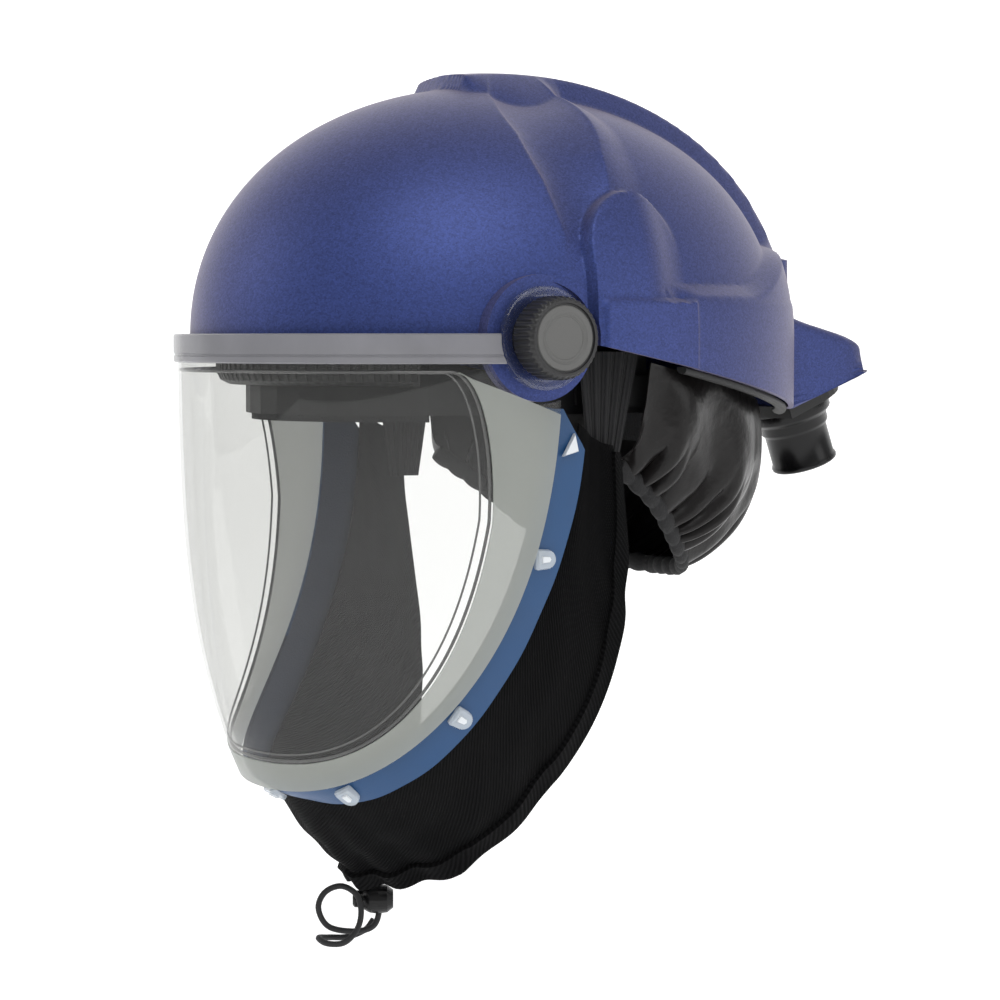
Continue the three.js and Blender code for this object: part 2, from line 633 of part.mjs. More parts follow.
// Blue gasket: lapped behind the visor's edge and standing out behind it, from one ear round the chin to the
// other. Its place at `turn` is its bend point, the way it runs out and its inward normal.
function gasketPlace(turn) {
  const side = Math.sign(turn) || 1;
  const way = mix(1, GASKET_START, Math.abs(turn));
  const [angle, z] = visorEdge(way);
  const bend = visorPoint(side * angle, z, -LENS_THICKNESS - GASKET_STANDOFF);
  const [lapAngle, lapZ] = visorEdge(way, 1 - GASKET_LAP / VISOR_HEIGHT);
  const lap = visorPoint(side * lapAngle, lapZ, -LENS_THICKNESS - GASKET_STANDOFF);
  const lean = mix(0, 45, smooth(THREE.MathUtils.clamp((way - 0.3) / 0.4, 0, 1)))
    - 15 * smooth(THREE.MathUtils.clamp((way - 0.75) / 0.25, 0, 1));
  const out = V(0, Math.cos(lean * DEG), -Math.sin(lean * DEG));
  const inward = V(-Math.sin(side * angle * DEG), Math.cos(angle * DEG) * Math.sin(lean * DEG),
    Math.cos(angle * DEG) * Math.cos(lean * DEG)).normalize();
  const lapInward = V(-Math.sin(side * angle * DEG), Math.cos(angle * DEG), 0);
  const width = mix(GASKET_SIDE_WIDTH, GASKET_CHIN_WIDTH, smooth(way));
  return { bend, lap, out, inward, lapInward, width, side };
}
function gasketStrip() {
  const steps = 38;
  const rings = [];
  for (let i = 0; i <= steps; i++) {
    const { bend, lap, out, inward, lapInward, width } = gasketPlace(mix(-1, 1, i / steps));
    const taper = i === 0 || i === steps ? 0.25 : 1; // the ends run out to a slant
    const end = bend.clone().addScaledVector(out, width * taper);
    const middle = inward.clone().add(lapInward).normalize();
    rings.push([
      lap,
      bend,
      end,
      end.clone().addScaledVector(inward, GASKET_THICKNESS),
      bend.clone().addScaledVector(middle, GASKET_THICKNESS * 1.15),
      lap.clone().addScaledVector(lapInward, GASKET_THICKNESS),
    ]);
  }
  return loft(rings);
}
add("edge_gasket", gasketStrip(), blueVinyl);

// A clear D-shaped clip on the gasket, and a small hook at its upper end.
function onGasket(geometry, turn, share) {
  const here = gasketPlace(turn);
  const along = here.out.clone().cross(here.inward).normalize();
  const basis = new THREE.Matrix4().makeBasis(here.out, along, here.out.clone().cross(along).normalize());
  const outward = here.out.clone().cross(along).normalize().dot(here.inward) < 0 ? 1 : -1;
  const place = here.bend.clone().addScaledVector(here.out, here.width * share)
    .addScaledVector(here.inward, -CLIP_STANDOFF);
  const shape = geometry.translate(0, 0, outward > 0 ? 0 : -CLIP_THICKNESS);
  return shape.applyMatrix4(basis.setPosition(place));
}
function gasketClip(turn) {
  const outline = new THREE.Shape();
  outline.moveTo(0, -CLIP_WIDTH / 2);
  outline.lineTo(CLIP_LENGTH - CLIP_WIDTH / 2, -CLIP_WIDTH / 2);
  outline.absarc(CLIP_LENGTH - CLIP_WIDTH / 2, 0, CLIP_WIDTH / 2, -Math.PI / 2, Math.PI / 2, false);
  outline.lineTo(0, CLIP_WIDTH / 2);
  const hole = new THREE.Path();
  hole.absarc(CLIP_LENGTH - CLIP_WIDTH / 2, 0, CLIP_WIDTH / 5, 0, 2 * Math.PI, true);
  outline.holes.push(hole);
  const depth = CLIP_THICKNESS;
  return onGasket(new THREE.ExtrudeGeometry(outline, { depth, bevelEnabled: false, curveSegments: 7 }), turn, 0.18);
}
CLIP_TURNS.forEach((turn, k) => addPair("gasket_clip_" + (k + 1), clearPlastic, () => gasketClip(turn)));
add("gasket_clip_chin", gasketClip(0), clearPlastic);
function gasketHook() {
  const outline = new THREE.Shape();
  outline.moveTo(0, 0);
  outline.lineTo(7, -1.5);
  outline.lineTo(5.5, 7);
  const flat = new THREE.ExtrudeGeometry(outline, { depth: CLIP_THICKNESS, bevelEnabled: false });
  return onGasket(flat, HOOK_TURN, 0.2).translate(HOOK_STANDOFF, 0, 0);
}
addPair("gasket_hook", clearPlastic, gasketHook);

// ---------------------------------------------------------------- face seal
// Neck edge of the cloth, from behind the wearer's left ear down and forward to the gathers at the chin.
const NECK_EDGE = new THREE.CatmullRomCurve3([
  V(97, 44, -44), V(96, 49, -0.48 * VISOR_HEIGHT), V(84, 48, -0.75 * VISOR_HEIGHT), V(64, 31, -VISOR_HEIGHT),
  V(40, -4, -VISOR_HEIGHT - 36), V(16, -27, -VISOR_HEIGHT - CHIN_DROP), V(0, -34, -VISOR_HEIGHT - CHIN_DROP),
]);
function neckEdge(turn) {
  const p = NECK_EDGE.getPoint(1 - Math.abs(turn));
  return p.setX(p.x * (Math.sign(turn) || 1));
}
function faceSealSurface(turn, across) {
  const here = gasketPlace(turn);
  const from = here.bend.clone().addScaledVector(here.out, here.width - SEAL_LAP)
    .addScaledVector(here.inward, GASKET_THICKNESS + SEAL_STANDOFF);
  const to = neckEdge(turn);
  const p = from.lerp(to, across);
  const billow = Math.sin(across * Math.PI) * 5 * (1 - Math.abs(turn) * 0.6);
  return p.add(V(0, -0.25, -0.6).multiplyScalar(billow));
}
function faceSeal() {
  return sheet(38, 3, (u, v) => faceSealSurface(mix(-0.985, 0.985, u), mix(0, 0.93, v)), CLOTH);
}
add("face_seal", faceSeal(), twill);

// Casing along the neck edge, open for the drawcord at the chin.
function drawcordCasing() {
  return sheet(38, 1, (u, v) => faceSealSurface(mix(-0.97, 0.97, u), mix(0.94, 1.1, v)), HEM_THICKNESS);
}
add("drawcord_casing", drawcordCasing(), twill);

// ---------------------------------------------------------------- drawcord and lock
// Places round the free end of the cord: `a` runs back along the lock's plunger, `n` across it, `z` up.
const CORD_MIDDLE = V(-2, -41, -266);
const CORD_BACK = V(0.5, 0.866, 0);
const CORD_ACROSS = V(0.866, -0.5, 0);
const LOCK_PLACE = [17.4, -6, 3];
const cordPlace = (a, n, z) =>
  CORD_MIDDLE.clone().addScaledVector(CORD_BACK, a).addScaledVector(CORD_ACROSS, n).add(V(0, 0, z));

// Out of the casing, down through the lock, round a free ring, and back to the lock in a hanging loop.
const DRAWCORD = new THREE.CatmullRomCurve3([
  [17.4, -6, 11.5], [17.4, -6, 4], [17.4, -6, -5], [14, -5, -10.5], [5, -2, -11.5], [-6, 0, -8.5], [-10.5, 0, 0],
  [-7.5, 0, 7.5], [0, 0, 10.5], [7, 1, 7], [9.5, 3, 0], [8, 6, -8], [2, 9, -14], [-6, 7, -15], [-10.5, 0, -14],
  [-6, -7, -15.5], [3, -10, -16], [11, -11, -13], [15, -11, -8],
].map((p) => cordPlace(...p)), false, "centripetal");
function tube(curve, radius, sides, steps) {
  const outline = new THREE.Shape();
  for (let k = 0; k < sides; k++) {
    const a = (k / sides) * 2 * Math.PI;
    if (k) outline.lineTo(radius * Math.cos(a), radius * Math.sin(a));
    else outline.moveTo(radius, 0);
  }
  return new THREE.ExtrudeGeometry(outline, { steps, bevelEnabled: false, extrudePath: curve });
}
add("drawcord", tube(DRAWCORD, CORD_RADIUS, 8, 48), rubber);

// The lock is made along +Z and laid so that +Z points to the plunger.
function onLock(geometry) {
  const turn = new THREE.Quaternion().setFromUnitVectors(V(0, 0, 1), CORD_BACK.clone().negate());
  return geometry.applyQuaternion(turn).translate(...cordPlace(...LOCK_PLACE).toArray());
}
function cordLockBody() {
  const half = LOCK_LENGTH / 2;
  const r = LOCK_RADIUS;
  const body = turned([[0, -half], [r * 0.6, -half], [r * 0.92, -half * 0.6], [r, 0], [r * 0.92, half * 0.6],
    [r * 0.7, half], [0, half]], 28);
  const wide = PLUNGER_RADIUS + PLUNGER_CLEARANCE;
  const well = turned([[0, -half + 2], [wide, -half + 2], [wide, half + 1], [0, half + 1]], 24);
  const made = onLock(cut(body, well));
  const hole = new THREE.CylinderGeometry(CORD_RADIUS + CORD_CLEARANCE, CORD_RADIUS + CORD_CLEARANCE, 4 * r, 16);
  return cut(made, hole.rotateX(Math.PI / 2).translate(...cordPlace(...LOCK_PLACE).toArray()));
}
add("cord_lock_body", cordLockBody(), blackPlastic);
function lockPlunger() {
  const half = LOCK_LENGTH / 2;
  const low = -half + 2 + PLUNGER_TRAVEL + GAP;
  const top = half + PLUNGER_PROUD;
  const wide = PLUNGER_RADIUS;
  const made = turned([[0, low], [wide, low], [wide, top - 1], [wide - 1, top], [0, top]], 24);
  const slot = CORD_RADIUS + CORD_CLEARANCE;
  return onLock(cut(made, box(-slot, slot, -2 * PLUNGER_RADIUS, 2 * PLUNGER_RADIUS, -slot, slot + PLUNGER_TRAVEL)
    .applyQuaternion(new THREE.Quaternion().setFromUnitVectors(V(0, 1, 0), CORD_BACK.clone().normalize()))));
}
add("lock_plunger", lockPlunger(), blackPlastic);

// ---------------------------------------------------------------- knobs
// Everything on a pivot is made about +Z and then laid along +X for the wearer's left.
const onPivot = (geometry, x) => geometry.rotateY(Math.PI / 2).translate(x, 0, 0);

function pivotStud() {
  const head = BOSS_FACE_X - BOSS_DEPTH - GAP;
  return join(rodX(STUD_RADIUS, head - 1, KNOB_X + KNOB_LENGTH - 5, 20), rodX(9, head - 3, head, 6));
}
addPair("pivot_stud", steel, pivotStud);
function pivotWasher() {
  return cut(rodX(WASHER_RADIUS, BOSS_FACE_X + GAP, BOSS_FACE_X + GAP + WASHER_THICKNESS),
    rodX(STUD_RADIUS + GAP, 0, 200, 20));
}
addPair("pivot_washer", blackPlastic, pivotWasher);

function knob() {
  const body = ribbedDisc(KNOB_RADIUS, KNOB_RIBS, KNOB_RIB_DEPTH, KNOB_LENGTH);
  const recess = turned([[0, KNOB_LENGTH - KNOB_CAP_THICKNESS - 1], [KNOB_CAP_RADIUS + GAP, KNOB_LENGTH - KNOB_CAP_THICKNESS - 1],
    [KNOB_CAP_RADIUS + GAP, KNOB_LENGTH + 1], [0, KNOB_LENGTH + 1]]);
  const bore = turned([[0, -1], [STUD_RADIUS + GAP, -1], [STUD_RADIUS + GAP, KNOB_LENGTH - 4.5], [0, KNOB_LENGTH - 4.5]], 20);
  return onPivot(cut(body, recess, bore), KNOB_X);
}
addPair("knob", blackPlastic, knob);
function knobCap() {
  const base = KNOB_LENGTH - KNOB_CAP_THICKNESS - 1 + GAP;
  const face = KNOB_LENGTH - 0.4;
  const outline = [[0, base], [KNOB_CAP_RADIUS, base], [KNOB_CAP_RADIUS, face], [10, face], [9.4, face - 0.7],
    [0, face - 0.7]];
  return onPivot(turned(outline), KNOB_X);
}
addPair("knob_cap", greyPlastic, knobCap);

// ---------------------------------------------------------------- inside the helmet
// Air duct over the brow: a curved box whose lower face lets the air out behind the visor.
function browDuct() {
  const steps = 26;
  const rings = [];
  for (let i = 0; i <= steps; i++) {
    const a = mix(-DUCT_ANGLE, DUCT_ANGLE, i / steps) * DEG;
    const at = (inset, z) => V((DUCT_HALF_WIDTH - inset) * Math.sin(a), -(DUCT_REACH - inset) * Math.cos(a), z);
    rings.push([at(0, DUCT_TOP_Z), at(0, DUCT_LOW_Z + 5), at(5, DUCT_LOW_Z), at(DUCT_DEPTH, DUCT_LOW_Z),
      at(DUCT_DEPTH, DUCT_TOP_Z)]);
  }
  return loft(rings);
}
add("brow_duct", browDuct(), blackPlastic);

// Headband: a U round the brow whose arms run back along the temples.
function bandPlan(angle, inset) {
  return V((BAND_HALF_WIDTH + BAND_THICKNESS - inset) * Math.sin(angle),
    BAND_CENTRE_Y - (BAND_CENTRE_Y - BAND_FRONT_Y + BAND_THICKNESS - inset) * Math.cos(angle), 0);
}
function headband() {
  const bow = plate(30, 1, (u, v, side) => {
    const along = mix(-1, 1, u);
    const angle = THREE.MathUtils.clamp(along / 0.62, -1, 1) * 90 * DEG;
    const past = Math.max(Math.abs(along) - 0.62, 0) / 0.38;
    const p = bandPlan(angle, side * BAND_THICKNESS);
    p.y += past * (BAND_END_Y - BAND_CENTRE_Y);
    return p.setZ(mix(BAND_LOW_Z + BAND_HEIGHT, BAND_LOW_Z, v));
  });
  return bow;
}
add("headband", headband(), blackPlastic);
function browPad() {
  return plate(18, 2, (u, v, side) => {
    const angle = mix(-58, 58, u) * DEG;
    const p = bandPlan(angle, BAND_THICKNESS + 2 * GAP + side * PAD_THICKNESS);
    return p.setZ(mix(BAND_LOW_Z + BAND_HEIGHT + 3, BAND_LOW_Z - 3, v));
  });
}
add("brow_pad", browPad(), foam);

// Hanger plates: carry the headband from the liner, each with four holes.
function hanger() {
  const inner = BAND_HALF_WIDTH + BAND_THICKNESS + GAP;
  const blank = box(inner, inner + HANGER_THICKNESS, HANGER_FRONT_Y, HANGER_REAR_Y, BAND_LOW_Z + 4, SHELL_HEIGHT);
  const within = common(blank, domeBody(SHELL_WALL + PLENUM_DEPTH + LINER_WALL + HANGER_CLEARANCE, 40));
  const holes = [-1, 1].flatMap((dy) => [-1, 1].map((dz) =>
    rodX(HANGER_HOLE_RADIUS, inner - 2, inner + 6, 14, HANGER_HOLES_Y + dy * 5.5, HANGER_HOLES_Z + dz * 5)));
  return cut(within, ...holes);
}
addPair("hanger_plate", blackPlastic, hanger);

// Nape band: its arms slide outside the headband's arms, and it bows out round the back of the head.
function napeBand() {
  const inner = BAND_HALF_WIDTH + BAND_THICKNESS + GAP + HANGER_THICKNESS + GAP;
  const start = BAND_END_Y - NAPE_OVERLAP;
  const bend = BAND_END_Y + 20;
  return plate(30, 1, (u, v, side) => {
    const along = mix(-1, 1, u);
    const angle = THREE.MathUtils.clamp(along / 0.7, -1, 1) * 90 * DEG;
    const past = Math.max(Math.abs(along) - 0.7, 0) / 0.3;
    const half = inner + (1 - side) * BAND_THICKNESS;
    const drop = NAPE_DROP * Math.cos(angle) ** 2;
    const reach = NAPE_REACH + (1 - side) * BAND_THICKNESS;
    return V(half * Math.sin(angle), bend + reach * Math.cos(angle) - past * (bend - start),
      mix(BAND_LOW_Z + BAND_HEIGHT - 3, BAND_LOW_Z + 3, v) - drop);
  });
}
add("nape_band", napeBand(), blackPlastic);

// Ratchet at the nape: a housing on the band, a knob behind it, and a pinion shaft that draws the arms in.
const NAPE_Y = BAND_END_Y + 20 + NAPE_REACH + BAND_THICKNESS; // outer face of the nape band
const RATCHET_Z = BAND_LOW_Z + BAND_HEIGHT / 2 - NAPE_DROP;
const onNape = (geometry, y) => geometry.rotateX(-Math.PI / 2).translate(0, y, RATCHET_Z);
function ratchetHousing() {
  const half = BAND_HEIGHT / 2;
  const body = box(-19, 19, NAPE_Y + GAP, NAPE_Y + GAP + 7, RATCHET_Z - half, RATCHET_Z + half);
  const r = RATCHET_SHAFT_RADIUS + GAP;
  return cut(body, onNape(turned([[0, -1], [r, -1], [r, 20], [0, 20]], 20), NAPE_Y));
}
add("ratchet_housing", ratchetHousing(), blackPlastic);
function ratchetKnob() {
  const disc = ribbedDisc(RATCHET_KNOB_RADIUS, RATCHET_RIBS, 0.9, RATCHET_KNOB_LENGTH);
  disc.translate(0, 0, 7 + 2 * GAP);
  const shaft = turned([[0, 2 * GAP], [RATCHET_SHAFT_RADIUS, 2 * GAP], [RATCHET_SHAFT_RADIUS, 9], [0, 9]], 20);
  return onNape(join(disc, shaft), NAPE_Y);
}
add("ratchet_knob", ratchetKnob(), greyPlastic);
function napePad() {
  const front = NAPE_Y - BAND_THICKNESS - GAP;
  return plate(14, 2, (u, v, side) => {
    const x = mix(-30, 30, u);
    const bow = (x / (BAND_HALF_WIDTH + 4)) ** 2 * NAPE_REACH * 0.5;
    const y = front - bow - side * PAD_THICKNESS - (1 - side) * 0.4 * Math.abs(x) / 30;
    return V(x, y, RATCHET_Z + mix(BAND_HEIGHT / 2 + 5, -BAND_HEIGHT / 2 - 5, v));
  });
}
add("nape_pad", napePad(), foam);

// Crown straps follow an egg-shaped surface over the head; the pad lies under their crossing.
function headTop(x, y, inset) {
  const across = x / (STRAP_HALF_SPAN - inset);
  const along = (y - SHELL_CENTRE_Y) / (STRAP_HALF_LENGTH - inset);
  const rest = Math.max(1 - across ** 2 - along ** 2, 0);
  return V(x, y, STRAP_LOW_Z + (STRAP_RISE - inset) * Math.sqrt(rest));
}
function crossStrap() {
  return sheet(26, 1, (u, v) => headTop(STRAP_HALF_SPAN * Math.sin(mix(-82, 82, u) * DEG),
    SHELL_CENTRE_Y + mix(-0.5, 0.5, v) * STRAP_WIDTH, 0), STRAP_THICKNESS);
}
add("crown_strap_cross", crossStrap(), twill);
function foreStrap() {
  const end = SHELL_CENTRE_Y - STRAP_WIDTH / 2 - 1.5;
  const start = SHELL_CENTRE_Y - STRAP_HALF_LENGTH * Math.cos(9 * DEG);
  const at = (u, v) => headTop(mix(-0.5, 0.5, v) * STRAP_WIDTH, mix(start, end, u ** 1.6), 0);
  return sheet(18, 1, at, STRAP_THICKNESS);
}
add("crown_strap_fore", foreStrap(), twill);
function crownPad() {
  return plate(8, 8, (u, v, side) => {
    const across = mix(-1, 1, u);
    const along = mix(-1, 1, v);
    const inset = STRAP_THICKNESS + GAP + 0.6 + side * PAD_THICKNESS;
    return headTop(28 * across, SHELL_CENTRE_Y + 34 * along, inset);
  });
}
add("crown_pad", crownPad(), foam);

// ---------------------------------------------------------------- neck cape
// Elastic lower edge of the cape, from below the wearer's left ear to the middle of the neck.
const CAPE_HEM = new THREE.CatmullRomCurve3([
  V(82, 58, -58), V(76, 82, -75), V(60, 107, -98), V(35, 127, -110), V(0, 136, -113),
]);
function capeHemPoint(u) {
  const p = CAPE_HEM.getPoint(1 - Math.abs(mix(-1, 1, u)));
  return p.setX(p.x * (u < 0.5 ? -1 : 1));
}
function capeLine(u) {
  const phi = mix(360 - CAPE_FRONT, CAPE_FRONT, u) * DEG;
  const top = domePoint(phi, 0, CAPE_INSET, rimZ);
  const hem = capeHemPoint(u);
  const away = V(top.x, top.y - 90, 0).normalize().multiplyScalar(12 * Math.sin(Math.PI * u));
  const belly = V(top.x, top.y, mix(top.z, hem.z, 0.75)).add(away);
  return new THREE.QuadraticBezierCurve3(top, belly, hem);
}
function neckCape() {
  return sheet(30, 4, (u, v) => {
    const line = capeLine(u);
    return line.getPointAt(v * (1 - CAPE_HEM_LAP / line.getLength()));
  }, CLOTH);
}
add("neck_cape", neckCape(), coatedCloth);
function capeHem() {
  const places = Array.from({ length: 17 }, (_, i) => capeHemPoint(i / 16));
  return tube(new THREE.CatmullRomCurve3(places), CAPE_HEM_RADIUS, 8, 22);
}
add("cape_hem", capeHem(), twill);

// Stretch-knit panel between the visor's pivot and the cape.
function earGusset() {
  return sheet(3, 3, (u, v) => V(mix(mix(93, 92, v), mix(91, 87, v), u), mix(mix(28, 36, v), mix(62, 50, v), u),
    mix(-6, -70, v)), CLOTH);
}
addPair("ear_gusset", knit, earGusset);

export default helmet;
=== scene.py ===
import math

import bpy
import numpy as np
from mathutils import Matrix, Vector


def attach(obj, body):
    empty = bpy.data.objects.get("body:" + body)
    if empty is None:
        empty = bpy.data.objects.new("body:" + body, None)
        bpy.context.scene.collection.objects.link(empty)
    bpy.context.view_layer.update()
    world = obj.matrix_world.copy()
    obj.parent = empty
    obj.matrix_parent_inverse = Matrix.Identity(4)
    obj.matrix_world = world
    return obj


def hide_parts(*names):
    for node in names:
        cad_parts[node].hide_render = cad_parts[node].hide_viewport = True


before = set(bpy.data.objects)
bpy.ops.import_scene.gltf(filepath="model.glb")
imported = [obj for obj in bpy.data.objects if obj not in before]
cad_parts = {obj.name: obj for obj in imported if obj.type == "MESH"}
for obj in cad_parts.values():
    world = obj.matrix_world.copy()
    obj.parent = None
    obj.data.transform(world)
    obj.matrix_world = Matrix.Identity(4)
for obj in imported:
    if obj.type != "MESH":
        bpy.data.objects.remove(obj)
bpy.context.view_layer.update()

# ---- camera ---------------------------------------------------------------------------------------------
# The view from the front left, level with the pivots.
CAMERA_PLACE = (0.996, -0.575, 0.0)
CAMERA_TARGET = (0.0193, 0.0334, -0.0761)
camera = bpy.data.objects.new("camera", bpy.data.cameras.new("camera"))
camera.data.lens = 88.1
camera.data.sensor_width = 36
camera.location = CAMERA_PLACE
camera.rotation_euler = (Vector(CAMERA_TARGET) - Vector(CAMERA_PLACE)).to_track_quat("-Z", "Y").to_euler()
bpy.context.scene.collection.objects.link(camera)
bpy.context.scene.camera = camera
bpy.context.scene.view_settings.view_transform = "Standard"


# ---- drawcord and its lock -------------------------------------------------------------------------------
# An elastic cord leaves the casing at the chin, goes through a sprung lock and round one loose ring.
# The lock's two pieces keep their CAD shape and are satin black.
def finish_of(name, colour, rough, metal=0.0, grain=0.0, grain_size=0.001, alpha=1.0, coat=0.0, mottle=0.0,
              shine=0.5):
    """A Principled material with a fine surface grain and slight unevenness of roughness."""
    made = bpy.data.materials.new(name)
    made.use_nodes = True
    nodes, links = made.node_tree.nodes, made.node_tree.links
    shader = nodes["Principled BSDF"]
    shader.inputs["Base Color"].default_value = (*colour, 1)
    shader.inputs["Roughness"].default_value = rough
    shader.inputs["Metallic"].default_value = metal
    shader.inputs["Alpha"].default_value = alpha
    shader.inputs["Coat Weight"].default_value = coat
    shader.inputs["Specular IOR Level"].default_value = shine
    place = nodes.new("ShaderNodeTexCoord")
    noise = nodes.new("ShaderNodeTexNoise")
    noise.inputs["Scale"].default_value = 1 / grain_size
    noise.inputs["Detail"].default_value = 3
    links.new(place.outputs["Object"], noise.inputs["Vector"])
    bump = nodes.new("ShaderNodeBump")
    bump.inputs["Strength"].default_value = grain
    bump.inputs["Distance"].default_value = grain_size * 0.4
    links.new(noise.outputs["Fac"], bump.inputs["Height"])
    links.new(bump.outputs["Normal"], shader.inputs["Normal"])
    patches = nodes.new("ShaderNodeTexNoise")
    patches.inputs["Scale"].default_value = 45
    patches.inputs["Detail"].default_value = 4
    links.new(place.outputs["Object"], patches.inputs["Vector"])
    spread = nodes.new("ShaderNodeMapRange")
    spread.inputs["To Min"].default_value = max(rough - 0.06, 0.02)
    spread.inputs["To Max"].default_value = min(rough + 0.08, 1)
    links.new(patches.outputs["Fac"], spread.inputs["Value"])
    links.new(spread.outputs["Result"], shader.inputs["Roughness"])
    if mottle:
        tint = nodes.new("ShaderNodeMix")
        tint.data_type = "RGBA"
        tint.inputs["A"].default_value = (*[c * (1 - mottle) for c in colour], 1)
        tint.inputs["B"].default_value = (*[min(c * (1 + mottle), 1) for c in colour], 1)
        links.new(patches.outputs["Fac"], tint.inputs["Factor"])
        links.new(tint.outputs["Result"], shader.inputs["Base Color"])
    return made


def use(obj, material, body, smooth=True, replaces=()):
    """Give a piece its finish, its body and what it stands for."""
    obj.data.materials.clear()
    obj.data.materials.append(material)
    if smooth:
        obj.data.shade_smooth()
        obj.data.set_sharp_from_angle(angle=math.radians(38))
    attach(obj, body)
    if replaces:
        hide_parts(*replaces)
    return obj


def curve_points(places, count):
    """Points along a smooth curve through a few places, evenly spaced by length."""
    p = np.asarray(places, float)
    ext = np.vstack([2 * p[0] - p[1], p, 2 * p[-1] - p[-2]])
    fine = []
    for i in range(1, len(ext) - 2):
        a, b, c, d = ext[i - 1:i + 3]
        for t in np.linspace(0, 1, 24, endpoint=False):
            bend = (2 * a - 5 * b + 4 * c - d) * t**2 + (3 * b - a - 3 * c + d) * t**3
            fine.append(0.5 * (2 * b + (c - a) * t + bend))
    fine = np.array(fine + [p[-1]])
    far = np.concatenate([[0], np.cumsum(np.linalg.norm(np.diff(fine, axis=0), axis=1))])
    return np.stack([np.interp(np.linspace(0, far[-1], count), far, fine[:, k]) for k in range(3)], 1)


CORD_DIAMETER = 0.0028
CORD_MIDDLE = np.array([-2.0, -41.0, -266.0])
CORD_BACK = np.array([0.5, 0.866, 0.0])
CORD_ACROSS = np.array([0.866, -0.5, 0.0])
CORD_ROUTE = [
    (17.4, -6, 11.5), (17.4, -6, 4), (17.4, -6, -5), (14, -5, -10.5), (5, -2, -11.5), (-6, 0, -8.5),
    (-10.5, 0, 0),
    (-7.5, 0, 7.5), (0, 0, 10.5), (7, 1, 7), (9.5, 3, 0), (8, 6, -8), (2, 9, -14), (-6, 7, -15),
    (-10.5, 0, -14),
    (-6, -7, -15.5), (3, -10, -16), (11, -11, -13), (15, -11, -8),
]
cord_places = [CORD_MIDDLE + a * CORD_BACK + n * CORD_ACROSS + [0, 0, z] for a, n, z in CORD_ROUTE]
cord_path = curve_points(cord_places, 120) / 1000
cord_data = bpy.data.curves.new("elastic_drawcord", "CURVE")
cord_data.dimensions = "3D"
cord_data.bevel_depth = CORD_DIAMETER / 2
cord_data.bevel_resolution = 4
cord_data.use_fill_caps = True
line = cord_data.splines.new("POLY")
line.points.add(len(cord_path) - 1)
for point, place in zip(line.points, cord_path):
    point.co = (*place, 1)
drawcord = bpy.data.objects.new("elastic_drawcord", cord_data)
bpy.context.scene.collection.objects.link(drawcord)
satin_black = finish_of("satin black plastic", (0.003, 0.003, 0.0034), 0.26, grain=0.12,
                        grain_size=0.0006, shine=0.3)
cord_black = finish_of("elastic cord", (0.012, 0.012, 0.013), 0.7, grain=0.8, grain_size=0.0007)
use(drawcord, cord_black, "visor", smooth=False, replaces=["drawcord"])
for node in ("cord_lock_body", "lock_plunger"):
    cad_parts[node].data.materials.clear()
    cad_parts[node].data.materials.append(satin_black)

# ---- helmet shell ----------------------------------------------------------------------------------------
# A dome of super-ellipse section with moulded relief: crown ridge, troughs, side pods, panels and a belt.
# The rear is drawn out into a box-shaped tail over the hose inlet. Painted metallic blue, with painted sheen
# towards grazing angles.
HALF_WIDTH, HALF_LENGTH, CENTRE_Y, HEIGHT, ROUND = 112.0, 151.0, 43.0, 118.0, 2.1
WALL = 2.6
RIM_Z, RIM_BEND_Y, RIM_FALL = -3.0, 24.0, 0.2
BELT, PANEL, POD, TROUGH, RIDGE = 4.0, -3.0, 4.5, -5.0, 6.5  # heights of the features over the plain dome


def mesh_of(name, points, faces, uv=None):
    """An object from points in metres and faces; uv gives one pair for each point."""
    data = bpy.data.meshes.new(name)
    data.from_pydata([tuple(p) for p in points], [], faces)
    data.validate()
    if uv is not None:
        layer = data.uv_layers.new(name="UVMap")
        index = np.zeros(len(data.loops), np.int32)
        data.loops.foreach_get("vertex_index", index)
        layer.data.foreach_set("uv", np.asarray(uv, np.float32)[index].ravel())
    made = bpy.data.objects.new(name, data)
    bpy.context.scene.collection.objects.link(made)
    return made


def outward(obj):
    """Turn every face of a closed piece outwards."""
    bpy.context.view_layer.objects.active = obj
    for other in bpy.context.selected_objects:
        other.select_set(False)
    obj.select_set(True)
    bpy.ops.object.mode_set(mode="EDIT")
    bpy.ops.mesh.select_all(action="SELECT")
    bpy.ops.mesh.normals_make_consistent(inside=False)
    bpy.ops.object.mode_set(mode="OBJECT")
    return obj


def ramp(value, start, end):
    t = np.clip((value - start) / (end - start), 0, 1)
    return t * t * (3 - 2 * t)


def straight(value, start, end):
    return np.clip((value - start) / (end - start), 0, 1)


def rim_z(y):
    return RIM_Z - RIM_FALL * np.maximum(y - RIM_BEND_Y, 0)


